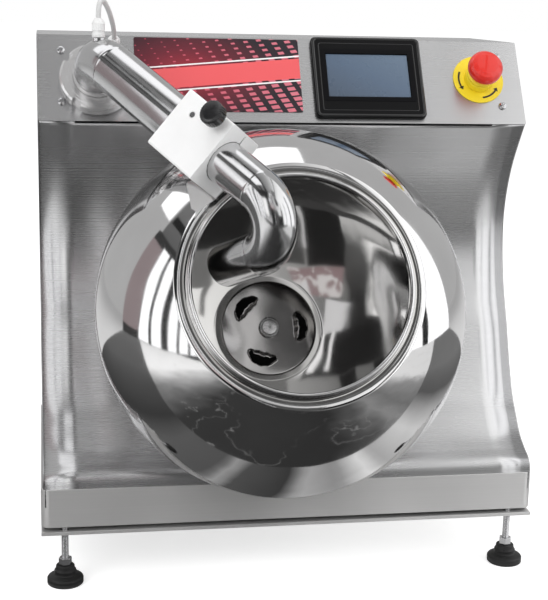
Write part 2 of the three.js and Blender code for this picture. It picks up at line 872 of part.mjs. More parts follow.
const boreRoute = bentRoute(ductStraight, ductBendRadius, ductBend, ductRun + overrun, ductStart - overrun);
const ductBore = pipe(boreRoute, ductRadius - ductWall, 0, 12, 8);
const worldOfDuct = (geometry) => geometry.applyMatrix4(ductFrame.matrixWorld);
const corner = new THREE.Vector3(0, 0, ductRise).applyMatrix4(ductFrame.matrixWorld);
const glandBoss = rod(glandNutRadius, probeGlandRise, 14).translate(corner.x, corner.y, corner.z);
const tubeCollar = rod(spigotRadius, ductCollar, 24).translate(0, 0, ductStart);
const probeBore = bore(probeRadius + fit, probeGlandRise + overrun, 12)
  .translate(corner.x, corner.y, corner.z);
const elbow = cut(
  join(worldOfDuct(ductOuter), worldOfDuct(tubeCollar), glandBoss),
  worldOfDuct(ductBore),
  probeBore,
);
add(machine, "duct_elbow", elbow, tubeSteel);

// Clamp block round the joint of duct and nozzle, with its slit, set screw and knob
const blockFrame = new THREE.Group();
blockFrame.rotation.z = blockRoll;
arm.add(blockFrame);
const blockEnd = blockStart + blockLength;
const blockOutline = roundedOutline(blockThickness, blockWidth, blockEdge);
const blockBody = plate(blockOutline, blockLength, 2).translate(0, 0, blockStart);
const ductSeat = bore(ductRadius + fit, ductEngagement + fit + overrun, 20)
  .translate(0, 0, blockStart - overrun);
const nozzleSeat = bore(nozzleRadius + fit, blockLength + overrun * 2, 20)
  .translate(0, 0, blockStart - overrun);
const slit = block(clampSlit, blockWidth, clampSlitLength + overrun);
slit.translate(0, -blockWidth / 2, blockEnd - clampSlitLength);
const knobAlong = blockEnd - knobInset;
const acrossBlock = (radius, length, sides) => rod(radius, length, sides).rotateY(quarterTurn);
const knobHole = bore(knobStudRadius + fit, blockThickness + overrun * 2, 16).rotateY(quarterTurn);
knobHole.translate(-blockThickness / 2 - overrun, -knobAcross, knobAlong);
const screwHole = bore(setScrewRadius + fit, blockThickness, 16).rotateY(quarterTurn);
screwHole.translate(0, -setScrewAcross, blockStart + setScrewAlong);
add(
  blockFrame,
  "clamp_block",
  cut(blockBody, ductSeat, nozzleSeat, slit, knobHole, screwHole),
  whitePlastic,
);

const setScrew = cut(
  acrossBlock(setScrewRadius, setScrewLength, 16),
  acrossBlock(setScrewSocket, setScrewSocketDepth + overrun, 6)
    .translate(setScrewLength - setScrewSocketDepth, 0, 0),
);
add(blockFrame, "set_screw", setScrew, castSteel,
  blockThickness / 2 - setScrewLength, -setScrewAcross, blockStart + setScrewAlong);

const knobDisc = revolve([
  [0, 0],
  [knobRadius - knobEdge, 0],
  [knobRadius, knobEdge],
  [knobRadius, knobHeight - knobEdge],
  [knobRadius - knobEdge, knobHeight],
  [0, knobHeight],
], 24).rotateY(quarterTurn);
const knobFluteCuts = [];
for (let i = 0; i < knobFlutes; i += 1) {
  const flute = acrossBlock(knobFluteRadius, knobHeight + overrun * 2, 8)
    .translate(-overrun, knobRadius, 0);
  knobFluteCuts.push(flute.rotateX((i * fullTurn) / knobFlutes));
}
const knobStud = acrossBlock(knobStudRadius, knobStudDepth + knobStandoff + knobHeight / 2, 16);
const knob = join(cut(knobDisc, ...knobFluteCuts), knobStud.translate(-knobStandoff - knobStudDepth, 0, 0));
add(
  blockFrame,
  "clamp_knob",
  knob,
  blackPlastic,
  blockThickness / 2 + knobStandoff,
  -knobAcross,
  knobAlong,
);

// Bent nozzle tube, free to turn in the block until the knob is tightened
const nozzleFrame = new THREE.Group();
nozzleFrame.rotation.z = nozzleRoll;
arm.add(nozzleFrame);
const nozzleStart = blockEnd - nozzleEngagement;
const nozzleRoute = bentRoute(
  blockEnd + nozzleReach,
  nozzleBendRadius,
  nozzleBend,
  nozzleTail,
  nozzleStart,
);
add(nozzleFrame, "nozzle_tube", pipe(nozzleRoute, nozzleRadius, nozzleWall, 12, 7), tubeSteel);

// Cable glands and the sensor cable between them
function gland(shankRadius, shankLength) {
  const hex = rod(glandNutRadius, glandNutHeight / 2, 6).translate(0, 0, fit);
  const body = revolve([
    [0, -shankLength],
    [shankRadius, -shankLength],
    [shankRadius, fit],
    [glandBodyRadius, fit],
    [glandBodyRadius, glandBodyHeight],
    [glandNutRadius, glandBodyHeight],
    [glandNutRadius, glandBodyHeight + glandNutHeight],
    [glandBodyRadius - glandDomeHeight / 2, glandBodyHeight + glandNutHeight + glandDomeHeight],
    [0, glandBodyHeight + glandNutHeight + glandDomeHeight],
  ], 14);
  return join(body, hex);
}
const glandTop = glandBodyHeight + glandNutHeight + glandDomeHeight;
add(
  machine,
  "probe_gland",
  gland(probeRadius, probeLength),
  whitePlastic,
  corner.x,
  corner.y,
  corner.z + probeGlandRise,
);
add(
  panel,
  "panel_gland",
  gland(glandShankRadius, glandShankLength),
  whitePlastic,
  panelGlandX,
  -panelGlandDown,
  0,
);

const probeCableEnd = new THREE.Vector3(corner.x, corner.y, corner.z + probeGlandRise + glandTop + fit);
const panelCableEnd = new THREE.Vector3(panelGlandX, -panelGlandDown, glandTop + fit)
  .applyMatrix4(panel.matrixWorld);
const panelNormal = new THREE.Vector3(0, 0, 1).transformDirection(panel.matrixWorld);
const cableRoute = new THREE.CubicBezierCurve3(
  probeCableEnd,
  probeCableEnd.clone().addScaledVector(upward, cableRise),
  panelCableEnd.clone().addScaledVector(panelNormal, cableBack),
  panelCableEnd,
);
add(machine, "sensor_cable", pipe([cableRoute], cableRadius, 0, cableSteps, 4), whitePlastic);

// Blower under the panel: scroll housing, motor and impeller on an axis across the machine
const blowerFrame = new THREE.Group();
blowerFrame.position.set(ductX, -ductDown + blowerRadius - blowerWidth / 2, -blowerDepth);
panel.add(blowerFrame);
const crosswise = (geometry) => geometry.rotateY(quarterTurn);
const outletY = blowerWidth / 2 - blowerRadius;
const outletTop = blowerDepth - skinInset;
const scroll = join(
  crosswise(rod(blowerRadius, blowerWidth, 28)).translate(-blowerWidth / 2, 0, 0),
  block(blowerWidth, blowerWidth, outletTop).translate(0, outletY, 0),
  block(blowerFlange, blowerFlange, blowerWall).translate(0, outletY, outletTop - blowerWall),
);
const innerSize = blowerWidth - blowerWall * 2;
const scrollHollow = join(
  crosswise(rod(blowerRadius - blowerWall, innerSize, 28)).translate(-innerSize / 2, 0, 0),
  block(innerSize, innerSize, outletTop + overrun).translate(0, outletY, 0),
);
const eye = crosswise(rod(blowerEyeRadius, blowerWall + overrun * 2, 28))
  .translate(-blowerWidth / 2 - overrun, 0, 0);
const motorHole = crosswise(rod(blowerShaftRadius * 2, blowerWall + overrun * 2, 20));
motorHole.translate(blowerWidth / 2 - blowerWall - overrun, 0, 0);
add(blowerFrame, "blower_housing", cut(scroll, scrollHollow, eye, motorHole), castSteel);

const blowerMotor = revolve([
  [0, -blowerShaftLength],
  [blowerShaftRadius, -blowerShaftLength],
  [blowerShaftRadius, 0],
  [blowerMotorFootRadius, 0],
  [blowerMotorFootRadius, blowerMotorFoot],
  [blowerMotorRadius, blowerMotorFoot],
  [blowerMotorRadius, blowerMotorLength],
  [0, blowerMotorLength],
], 18);
add(blowerFrame, "blower_motor", crosswise(blowerMotor), greyPaint, blowerWidth / 2 + fit, 0, 0);

const wheelPieces = [
  rod(impellerRadius, impellerDisc, 24).translate(0, 0, impellerWidth - impellerDisc),
  rod(impellerHubRadius, impellerHubLength, 14).translate(0, 0, impellerWidth - impellerHubLength),
];
for (let i = 0; i < impellerBlades; i += 1) {
  const blade = block(bladeDepth, bladeThickness, impellerWidth);
  blade.translate(impellerRadius - bladeDepth / 2 - bladeThickness, 0, 0);
  wheelPieces.push(blade.rotateZ((i * fullTurn) / impellerBlades));
}
const shaftBore = bore(blowerShaftRadius + fit, impellerWidth + overrun * 2, 16).translate(0, 0, -overrun);
const wheel = crosswise(cut(join(...wheelPieces), shaftBore));
add(
  blowerFrame,
  "blower_impeller",
  wheel,
  blackPlastic,
  blowerWidth / 2 - blowerWall - impellerGap - impellerWidth,
  0,
  0,
);

// Drum spun as four rings that meet edge to edge: a flat back, two belly rings and a dished, rolled collar
function shellLine(radius, front, flat, level, collar) {
  const rearStart = Math.acos(flat / radius);
  const rear = (equatorHeight - level) / Math.sin(rearStart);
  const frontEnd = Math.acos(collar / radius);
  const line = [];
  for (let i = 0; i < drumSteps; i += 1) {
    const angle = rearStart * (1 - i / drumSteps);
    line.push([radius * Math.cos(angle), equatorHeight - rear * Math.sin(angle)]);
  }
  for (let i = 0; i <= drumSteps; i += 1) {
    const angle = (frontEnd * i) / drumSteps;
    line.push([radius * Math.cos(angle), equatorHeight + front * Math.sin(angle)]);
  }
  return line;
}
const outerShell = shellLine(drumRadius, frontReach, backFlatRadius, -drumWall, collarRadius);
const innerReach = frontReach - drumWall * 2;
const innerShell = shellLine(drumRadius - drumWall, innerReach, backFlatRadius, 0, collarRadius - drumWall);
const [, collarTop] = outerShell.at(-1);
const collarLevel = collarTop - collarDish;
const bead = [];
for (let i = 0; i <= beadSteps; i += 1) {
  const angle = (i * quarterTurn * 2) / beadSteps;
  bead.push(
    [mouthRadius + rimBead + rimBead * Math.cos(angle), mouthHeight - rimBead + rimBead * Math.sin(angle)],
  );
}
// A stretch of a profile that starts one clearance further along
function stretch(line, first, last) {
  const [start, next] = line.slice(first, first + 2).map(([r, z]) => new THREE.Vector2(r, z));
  const begin = start.clone().addScaledVector(next.sub(start).normalize(), fit);
  return [begin.toArray(), ...line.slice(first + 1, last + 1)];
}

function spunRing(first, last) {
  const outside = stretch(outerShell, first, last);
  const inside = stretch(innerShell, first, last);
  return revolve([...outside, ...inside.reverse(), outside[0]], drumSides);
}

const backShell = revolve([
  [hubHoleRadius, -drumWall],
  ...outerShell.slice(0, backSteps + 1),
  ...innerShell.slice(0, backSteps + 1).reverse(),
  [hubHoleRadius, 0],
  [hubHoleRadius, -drumWall],
], drumSides);
add(drumFrame, "drum_back", backShell, mirrorSteel);
add(drumFrame, "drum_rear_ring", spunRing(backSteps, drumSteps), mirrorSteel);
add(drumFrame, "drum_front_ring", spunRing(drumSteps, drumSteps + frontSteps), mirrorSteel);

const collarOutside = stretch(outerShell, drumSteps + frontSteps, drumSteps * 2);
const collarInside = stretch(innerShell, drumSteps + frontSteps, drumSteps * 2);
const collar = revolve([
  ...collarOutside,
  [mouthRadius + rimBead * 2, collarLevel],
  ...bead,
  [mouthRadius, collarLevel - drumWall],
  ...collarInside.reverse(),
  collarOutside[0],
], drumSides);
add(drumFrame, "drum_collar", collar, mirrorSteel);

// Back plate with three pressed scoops, and the cap in its middle
const backPlateDisc = revolve([
  [0, 0],
  [backPlateRadius, 0],
  [backPlateRadius, backPlateThickness - backPlateEdge],
  [backPlateRadius - backPlateEdge, backPlateThickness],
  [0, backPlateThickness],
], 28);
const scoops = scoopAngles.map((angle) => {
  const scoop = new THREE.SphereGeometry(1, 12, 6).scale(scoopBreadth, scoopLength, scoopHeight);
  return scoop.translate(backPlateRadius * scoopOrbitShare, 0, backPlateThickness / 2).rotateZ(angle);
});
const underDisc = block(backPlateRadius * 2, backPlateRadius * 2, scoopHeight * 2)
  .translate(0, 0, -scoopHeight * 2);
const backPlate = cut(join(backPlateDisc, ...scoops), underDisc);
add(drumFrame, "drum_back_plate", backPlate, mirrorSteel, 0, 0, fit);

const hubCap = revolve([
  [0, 0],
  [hubCapRadius, 0],
  [hubCapRadius, hubCapHeight - hubCapRound],
  [hubCapRadius - hubCapRound, hubCapHeight],
  [hubCapDimple, hubCapHeight],
  [0, hubCapHeight - hubCapRound],
], 20);
add(drumFrame, "hub_cap", hubCap, mirrorSteel, 0, 0, fit + backPlateThickness + fit);

// Hub and shaft behind the drum
const hubFace = -drumWall - fit;
const hubRear = hubFace - hubFlangeThickness - hubBossLength;
const shaftEnd = hubRear - shaftLength;
const hub = revolve([
  [0, shaftEnd],
  [shaftRadius, shaftEnd],
  [shaftRadius, hubRear],
  [hubBossRadius, hubRear],
  [hubBossRadius, hubFace - hubFlangeThickness],
  [hubFlangeRadius, hubFace - hubFlangeThickness],
  [hubFlangeRadius, hubFace],
  [hubHoleRadius - fit, hubFace],
  [hubHoleRadius - fit, 0],
  [0, 0],
], 20);
add(drumFrame, "drum_hub", hub, castSteel);

// Seal in the skin, bearing on the slanted bracket, gearbox and motor behind it
const boreRadius = shaftRadius + fit;
const sealFoot = -skinStandoff + sealGap;
const sealRear = -bracketDistance + fit + bearingNose + fit;
const seal = revolve([
  [boreRadius, sealRear],
  [skinHoleRadius - fit, sealRear],
  [skinHoleRadius - fit, sealFoot],
  [sealRadius, sealFoot],
  [sealRadius, sealFoot + sealThickness / 2],
  [sealRadius - sealThickness / 2, sealFoot + sealThickness],
  [boreRadius, sealFoot + sealThickness],
  [boreRadius, sealRear],
], 20);
add(drumFrame, "shaft_seal", seal, blackRubber);

const bearing = revolve([
  [boreRadius, -bracketDistance - bracketThickness],
  [bracketHoleRadius - fit, -bracketDistance - bracketThickness],
  [bracketHoleRadius - fit, -bracketDistance + fit],
  [bearingFlange, -bracketDistance + fit],
  [bearingFlange, -bracketDistance + fit + bearingFlangeThickness],
  [bearingRadius, -bracketDistance + fit + bearingFlangeThickness],
  [bearingRadius - fit - sealGap, -bracketDistance + fit + bearingNose],
  [boreRadius, -bracketDistance + fit + bearingNose],
  [boreRadius, -bracketDistance - bracketThickness],
], 20);
add(drumFrame, "bearing_housing", bearing, castSteel);

const inDrumFrame = (geometry) => geometry.applyMatrix4(drumFrame.matrixWorld);
const bracketPlate = block(bracketWidth, bracketReach * 2, bracketThickness);
bracketPlate.translate(0, bracketRise - bracketReach, -bracketDistance - bracketThickness);
const bracketHole = rod(bracketHoleRadius, bracketThickness + overrun * 2, 32);
bracketHole.translate(0, 0, -bracketDistance - bracketThickness - overrun);
const plateFootY = drumY + bracketDistance * Math.cos(drumTilt)
  - (drumZ - bracketDistance * Math.sin(drumTilt) - baseTop) * Math.tan(drumTilt);
const gussetOutline = new THREE.Shape([
  new THREE.Vector2(plateFootY + bracketThickness / 2, baseTop),
  new THREE.Vector2(plateFootY + gussetDepth, baseTop),
  new THREE.Vector2(plateFootY + gussetDepth, baseTop + bracketThickness),
  new THREE.Vector2(drumY + bracketDistance, drumZ - bracketDistance - gearboxSize * gussetDropShare),
]);
const gusset = plate(gussetOutline, gussetThickness);
gusset.applyMatrix4(new THREE.Matrix4().set(0, 0, 1, 0, 1, 0, 0, 0, 0, 1, 0, 0, 0, 0, 0, 1));
const gussets = [-1, 1].map((side) => {
  const x = drumX + (side * (bracketWidth - gussetThickness)) / 2 - gussetThickness / 2;
  return gusset.clone().translate(x, 0, 0);
});
const belowFloor = block(plinthWidth, cabinetDepth * 2, topHeight)
  .translate(0, 0, baseTop + fit - topHeight);
const bracket = cut(
  join(cut(inDrumFrame(bracketPlate), inDrumFrame(bracketHole)), ...gussets),
  belowFloor,
);
add(machine, "drive_bracket", bracket, steel);

const gearboxFace = -bracketDistance - bracketThickness - fit;
const gearboxCase = plate(roundedOutline(gearboxSize, gearboxSize, gearboxCorner), gearboxLength, 4);
const gearboxBore = bore(boreRadius, gearboxFace - shaftEnd + fit + overrun);
gearboxBore.translate(0, 0, shaftEnd - fit);
add(
  drumFrame,
  "gearbox",
  cut(gearboxCase.translate(0, 0, gearboxFace - gearboxLength), gearboxBore),
  greyPaint,
);

const finGrooves = [];
const driveMotorBody = rod(driveMotorRadius, driveMotorLength, driveMotorFins * 2);
for (let i = 0; i < driveMotorFins; i += 1) {
  const groove = block(finDepth * 2, finDepth, driveMotorLength - finDepth * 4)
    .translate(driveMotorRadius, 0, finDepth * 2);
  finGrooves.push(groove.rotateZ((i * fullTurn) / driveMotorFins));
}
const driveMotorFace = gearboxFace - gearboxLength - fit;
add(
  drumFrame,
  "drive_motor",
  cut(driveMotorBody, ...finGrooves),
  greyPaint,
  0,
  0,
  driveMotorFace - driveMotorLength,
);

// The whole machine moved so that the origin lies under the middle of its bounding box
const extent = new THREE.Box3().setFromObject(machine, true);
machine.position.set(0, -(extent.min.y + extent.max.y) / 2, 0);
const part = new THREE.Group();
part.add(machine);
part.updateMatrixWorld(true);

export default part;
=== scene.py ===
import json
import math

import bmesh
import bpy
from mathutils import Matrix, Vector


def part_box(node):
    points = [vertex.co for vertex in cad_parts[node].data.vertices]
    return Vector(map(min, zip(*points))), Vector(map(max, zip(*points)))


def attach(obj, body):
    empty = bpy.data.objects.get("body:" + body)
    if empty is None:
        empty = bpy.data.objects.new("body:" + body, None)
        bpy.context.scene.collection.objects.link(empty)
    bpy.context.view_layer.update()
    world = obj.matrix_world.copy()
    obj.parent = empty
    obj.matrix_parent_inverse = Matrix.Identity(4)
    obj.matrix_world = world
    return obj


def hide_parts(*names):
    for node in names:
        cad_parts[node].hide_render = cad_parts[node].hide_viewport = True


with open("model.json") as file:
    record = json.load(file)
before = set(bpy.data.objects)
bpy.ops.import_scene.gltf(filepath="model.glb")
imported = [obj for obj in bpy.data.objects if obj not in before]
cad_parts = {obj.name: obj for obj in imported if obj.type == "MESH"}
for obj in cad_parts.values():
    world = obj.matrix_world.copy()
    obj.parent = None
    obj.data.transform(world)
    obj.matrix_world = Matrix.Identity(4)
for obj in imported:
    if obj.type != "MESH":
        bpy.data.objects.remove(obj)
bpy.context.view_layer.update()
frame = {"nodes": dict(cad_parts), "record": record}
NODES = frame["nodes"]
BODY = {n: b for b, ns in frame["record"]["behaviour"]["bodies"].items() for n in ns}
rad = math.radians

# Driving sizes, in millimetres and degrees, as in the CAD part
MM = 0.001
FIT = 0.3
SHEET = 1.5
HALF_WIDTH = 278
TOP = 595
PLINTH_TOP = 111.7
REAR_Y = 316.3
HOLLOW_DEPTH = 144
PANEL_Y, PANEL_LEAN, PANEL_LENGTH = 141.3, 58.1, 106.7
SCREW_X, SCREW_ROWS = 251.5, (20, 83.6)
LABEL_PLACE = (-77.2, -48)
LENS_PLACE = (94.5, -49)
BEZEL_PLACE = (94.5, -51)
STOP_PLACE = (226.1, -50)
GLAND_PLACE, GLAND_HEIGHT = (-193.5, -15), 20
DRUM_PLACE, DRUM_LEAN = (-20.5, 75.7, 270.1), 64.2
DRUM_R, DRUM_WALL, EQUATOR = 201.5, 2, 90
PLATE_R = 55.4
DUCT_PLACE, DUCT_TURN = (-212.9, -61), 54.46
DUCT_RUN, DUCT_BEND, DUCT_BEND_R = 60, 66.95, 40
DUCT_R, NOZZLE_R, TUBE_WALL = 25.4, 22.2, 1.5
BLOCK_START, BLOCK_END, BLOCK_TURN = 147, 216, 154.04
NOZZLE_TURN = 26.3
FOOT_X, FOOT_FRONT, FOOT_REAR = 254.9, 7.8, 294


# Frames of the machine
def move(x, y, z=0):
    return Matrix.Translation((x, y, z))


def turn(angle, axis):
    return Matrix.Rotation(rad(angle), 4, axis)


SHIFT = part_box("plinth_band")[0].y / MM
WORLD = move(0, SHIFT)
PANEL = WORLD @ move(0, PANEL_Y, TOP) @ turn(PANEL_LEAN, "X")
DRUM = WORLD @ move(*DRUM_PLACE) @ turn(DRUM_LEAN, "X")
DUCT = PANEL @ move(*DUCT_PLACE) @ turn(-DUCT_TURN, "Z")
ARM = DUCT @ move(0, 0, DUCT_RUN) @ turn(DUCT_BEND, "Y")
BLOCK = ARM @ turn(-BLOCK_TURN, "Z")
NOZZLE = ARM @ turn(-NOZZLE_TURN, "Z")

# Camera, as fitted to the photograph
yaw, pitch, roll = rad(9.92), rad(12.64), rad(1.33)
EYE_X, EYE_Y, EYE_Z = -0.27205, -1.39477, 0.63809
forward = Vector((math.sin(yaw) * math.cos(pitch), math.cos(yaw) * math.cos(pitch), -math.sin(pitch)))
right = forward.cross(Vector((0, 0, 1))).normalized()
upward = right.cross(forward)
cam_x = right * math.cos(roll) + upward * math.sin(roll)
cam_y = upward * math.cos(roll) - right * math.sin(roll)
camera_data = bpy.data.cameras.new("camera")
camera = bpy.data.objects.new("camera", camera_data)
bpy.context.scene.collection.objects.link(camera)
camera.matrix_world = Matrix((
    (cam_x.x, cam_y.x, -forward.x, EYE_X),
    (cam_x.y, cam_y.y, -forward.y, EYE_Y + SHIFT * MM),
    (cam_x.z, cam_y.z, -forward.z, EYE_Z),
    (0, 0, 0, 1),
))
camera_data.sensor_width = 36
camera_data.lens = 80.32
camera_data.clip_start = 0.02
camera_data.clip_end = 60
bpy.context.scene.camera = camera


# Material helpers
class Nodes:
    """A small helper that builds a node material."""

    def __init__(self, name):
        self.mat = bpy.data.materials.new(name)
        self.mat.use_nodes = True
        self.tree = self.mat.node_tree
        self.bsdf = self.tree.nodes["Principled BSDF"]
        self.coord = self.add("ShaderNodeTexCoord")

    def add(self, kind, **values):
        node = self.tree.nodes.new(kind)
        for key, value in values.items():
            setattr(node, key, value)
        return node

    def link(self, a, b):
        self.tree.links.new(a, b)

    def fill(self, slot, value):
        """Gives a slot a number, a colour or what another node puts out."""
        if isinstance(value, bpy.types.NodeSocket):
            self.link(value, slot)
        elif isinstance(value, (tuple, list)):
            slot.default_value = (*value, 1)
        else:
            slot.default_value = value

    def set(self, **values):
        for key, value in values.items():
            self.bsdf.inputs[key.replace("_", " ")].default_value = value

    def noise(self, scale, detail=4.0, stretch=(1, 1, 1), distortion=0.0):
        mapping = self.add("ShaderNodeMapping")
        mapping.inputs["Scale"].default_value = stretch
        self.link(self.coord.outputs["Object"], mapping.inputs["Vector"])
        node = self.add("ShaderNodeTexNoise")
        node.inputs["Scale"].default_value = scale
        node.inputs["Detail"].default_value = detail
        node.inputs["Roughness"].default_value = 0.55
        node.inputs["Distortion"].default_value = distortion
        self.link(mapping.outputs["Vector"], node.inputs["Vector"])
        return node.outputs["Fac"]

    def on_panel(self, place):
        """Metres across and up the panel's face, from a place on it."""
        mapping = self.add("ShaderNodeMapping", vector_type="TEXTURE")
        mapping.inputs["Location"].default_value = (PANEL @ Vector((*place, 0))) * MM
        mapping.inputs["Rotation"].default_value = (rad(PANEL_LEAN), 0, 0)
        self.link(self.coord.outputs["Object"], mapping.inputs["Vector"])
        split = self.add("ShaderNodeSeparateXYZ")
        self.link(mapping.outputs["Vector"], split.inputs["Vector"])
        return split.outputs["X"], split.outputs["Y"]

    def ramp(self, fac, stops):
        node = self.add("ShaderNodeValToRGB")
        elements = node.color_ramp.elements
        while len(elements) < len(stops):
            elements.new(0.5)
        for element, (pos, colour) in zip(elements, stops):
            element.position = pos
            if not isinstance(colour, (tuple, list)):
                colour = (colour, colour, colour)
            element.color = (*colour, 1)
        self.link(fac, node.inputs["Fac"])
        return node.outputs["Color"]

    def span(self, fac, low, high, start=0.3, end=0.7):
        """Carries the stretch from start to end over to the one from low to high."""
        node = self.add("ShaderNodeMapRange")
        node.inputs["From Min"].default_value = start
        node.inputs["From Max"].default_value = end
        node.inputs["To Min"].default_value = low
        node.inputs["To Max"].default_value = high
        self.link(fac, node.inputs["Value"])
        return node.outputs["Result"]

    def mix(self, fac, a, b):
        node = self.add("ShaderNodeMix", data_type="RGBA")
        self.fill(node.inputs[0], fac)
        self.fill(node.inputs[6], a)
        self.fill(node.inputs[7], b)
        return node.outputs[2]

    def math(self, kind, a, b=0.0):
        node = self.add("ShaderNodeMath", operation=kind)
        self.fill(node.inputs[0], a)
        self.fill(node.inputs[1], b)
        return node.outputs[0]

    def times(self, a, b):
        return self.math("MULTIPLY", a, b)

    def less(self, a, b):
        return self.math("LESS_THAN", a, b)

    def gap(self, a, b):
        return self.math("ABSOLUTE", self.math("SUBTRACT", a, b))

    def bump(self, height, strength, distance, chain=None):
        node = self.add("ShaderNodeBump")
        node.inputs["Strength"].default_value = strength
        node.inputs["Distance"].default_value = distance
        self.link(height, node.inputs["Height"])
        if chain is not None:
            self.link(chain, node.inputs["Normal"])
        return node.outputs["Normal"]

    def out(self, colour, rough, normal=None):
        self.link(colour, self.bsdf.inputs["Base Color"])
        self.link(rough, self.bsdf.inputs["Roughness"])
        if normal is not None:
            self.link(normal, self.bsdf.inputs["Normal"])
        return self.mat


def shade(colour, share):
    return tuple(c * share for c in colour)


def brushed(name, colour, low, high, grain, stretch=None, bump=0.02, metal=1.0):
    """Steel sheet brushed along one axis: fine streaks in colour, gloss and relief."""
    m = Nodes(name)
    m.set(Metallic=metal)
    fine = m.noise(1.0, 5.0, grain)
    coarse = m.noise(1.0, 3.0, tuple(v / 9 for v in grain))
    cloud = m.noise(5.0, 3.0)
    tone = m.mix(m.span(coarse, 0.0, 1.0, 0.25, 0.75), shade(colour, 0.975), colour)
    tone = m.mix(m.span(fine, 0.0, 0.3, 0.3, 0.7), tone, shade(colour, 0.92))
    rough = m.math("ADD", m.span(fine, low, high, 0.25, 0.75), m.span(cloud, 0.0, 0.05, 0.35, 0.7))
    if stretch:
        m.set(Anisotropic=0.75)
        tangent = m.add("ShaderNodeCombineXYZ")
        for slot, value in zip(tangent.inputs, stretch):
            slot.default_value = value
        m.link(tangent.outputs[0], m.bsdf.inputs["Tangent"])
    return m.out(tone, rough, m.bump(fine, bump, 0.0002))


def polished(name, colour, low, high, wave=0.05, scratch=0.03, metal=1.0):
    """Polished steel with slight waviness and hairline scratches."""
    m = Nodes(name)
    m.set(Metallic=metal)
    cloud = m.noise(16.0, 4.0)
    hair = m.noise(1.0, 3.0, (420, 60, 900), 0.6)
    tone = m.mix(m.span(cloud, 0.0, 1.0), shade(colour, 0.93), colour)
    rough = m.math("ADD", m.span(cloud, low, high), m.span(hair, 0.0, 0.03, 0.6, 0.75))
    swell = m.bump(m.noise(9.0, 2.0), wave, 0.004)
    return m.out(tone, rough, m.bump(hair, scratch, 0.0002, swell))


def plastic(name, colour, low, high, grain=900.0, bump=0.06, coat=0.0, subsurface=0.0, specular=0.5):
    """Moulded or machined plastic with a fine grain and faint handling marks."""
    m = Nodes(name)
    m.set(Metallic=0.0, Coat_Weight=coat, Subsurface_Weight=subsurface, Specular_IOR_Level=specular)
    m.set(Subsurface_Radius=(0.004, 0.004, 0.004), Subsurface_Scale=0.5)
    cloud = m.noise(26.0, 5.0)
    fine = m.noise(grain, 2.0)
    tone = m.mix(m.span(cloud, 0.0, 1.0), shade(colour, 0.95), colour)
    return m.out(tone, m.span(cloud, low, high), m.bump(fine, bump, 0.0003))


# The materials: a colour, the least and greatest roughness, then grain, relief and gloss
STEEL = (0.66, 0.66, 0.665)
BLACK = (0.012, 0.012, 0.013)
ALONG, UPRIGHT = (0, 0.3, 0.95), (0, 0.95, 0.3)
M = {
    "sheet": brushed("brushed_sheet", STEEL, 0.23, 0.27, (3, 1500, 1500), ALONG, 0.006, 0.93),
    "sheet_up": brushed("brushed_sheet_upright", STEEL, 0.24, 0.34, (900, 900, 3), UPRIGHT),
    # A lighter, less metallic copy of the sheet steel: painted light for the bright plinth and base lip
    "band": brushed("brushed_band_painted_lighter", (0.72, 0.715, 0.71), 0.36, 0.46, (3, 900, 900), ALONG, metal=0.62),
    "plain": brushed("plain_steel", (0.42, 0.42, 0.43), 0.38, 0.5, (60, 60, 60), bump=0.1),
    "mirror": polished("mirror_steel", (0.78, 0.775, 0.775), 0.04, 0.09, 0.25),
    # A darker copy of the mirror steel for the drum's inside: painted shade for the hollow
    "inner": polished("drum_inside_painted_shade", (0.58, 0.572, 0.56), 0.05, 0.09, 0.4, 0.012),
    "pan": polished("pan_plate", (0.5, 0.49, 0.485), 0.07, 0.12, 0.5, 0.0),
    "tube": polished("tube_steel", STEEL, 0.12, 0.19, 0.15, 0.03),
    # Black for the scoops' open faces: painted shade that stands in for the dark inside of each opening
    "painted_scoop_shade": plastic("scoop_opening_painted_shade", (0.01, 0.01, 0.01), 0.5, 0.6, specular=0.1),
    "nut": polished("turned_steel", (0.79, 0.785, 0.785), 0.16, 0.22, 0.02, 0.06, 0.75),
    "cap": polished("turned_cap", (0.6, 0.6, 0.6), 0.2, 0.28, 0.02, 0.06),
    "bright": polished("bright_steel", (0.72, 0.72, 0.73), 0.16, 0.24, 0.0, 0.05),
    "white": plastic("white_polymer", (0.91, 0.91, 0.91), 0.42, 0.55, 700.0, 0.05, subsurface=0.05),
    "gland": plastic("white_gland", (0.84, 0.84, 0.84), 0.35, 0.45),
    "cable": plastic("pale_cable", (0.66, 0.66, 0.66), 0.4, 0.5),
    "black": plastic("black_plastic", BLACK, 0.3, 0.42),
    "knob": plastic("knob_black", BLACK, 0.14, 0.22, coat=0.7),
    "bezel": plastic("bezel_black", (0.008, 0.008, 0.0085), 0.3, 0.4, 1400.0, 0.03, specular=0.08),
    "gloss": plastic("gloss_black", (0.006, 0.006, 0.0065), 0.1, 0.16, 900.0, 0.0, coat=0.6),
    "lens": plastic("lens_black", (0.004, 0.004, 0.005), 0.3, 0.4, 200.0, 0.0, specular=0.1),
    "rubber": plastic("foot_black", (0.012, 0.012, 0.012), 0.45, 0.6, 500.0, 0.2),
    "yellow": plastic("signal_yellow", (0.93, 0.72, 0.02), 0.38, 0.48),
    "red": plastic("signal_red", (0.74, 0.022, 0.012), 0.3, 0.38, coat=0.7, specular=0.3),
    "mark": plastic("mark_black", (0.02, 0.02, 0.02), 0.45, 0.55),
    "grey": plastic("machine_grey", (0.07, 0.075, 0.08), 0.5, 0.62, 300.0, 0.3),
    "cast": brushed("cast_metal", (0.30, 0.30, 0.31), 0.5, 0.65, (150, 150, 150), bump=0.35),
}


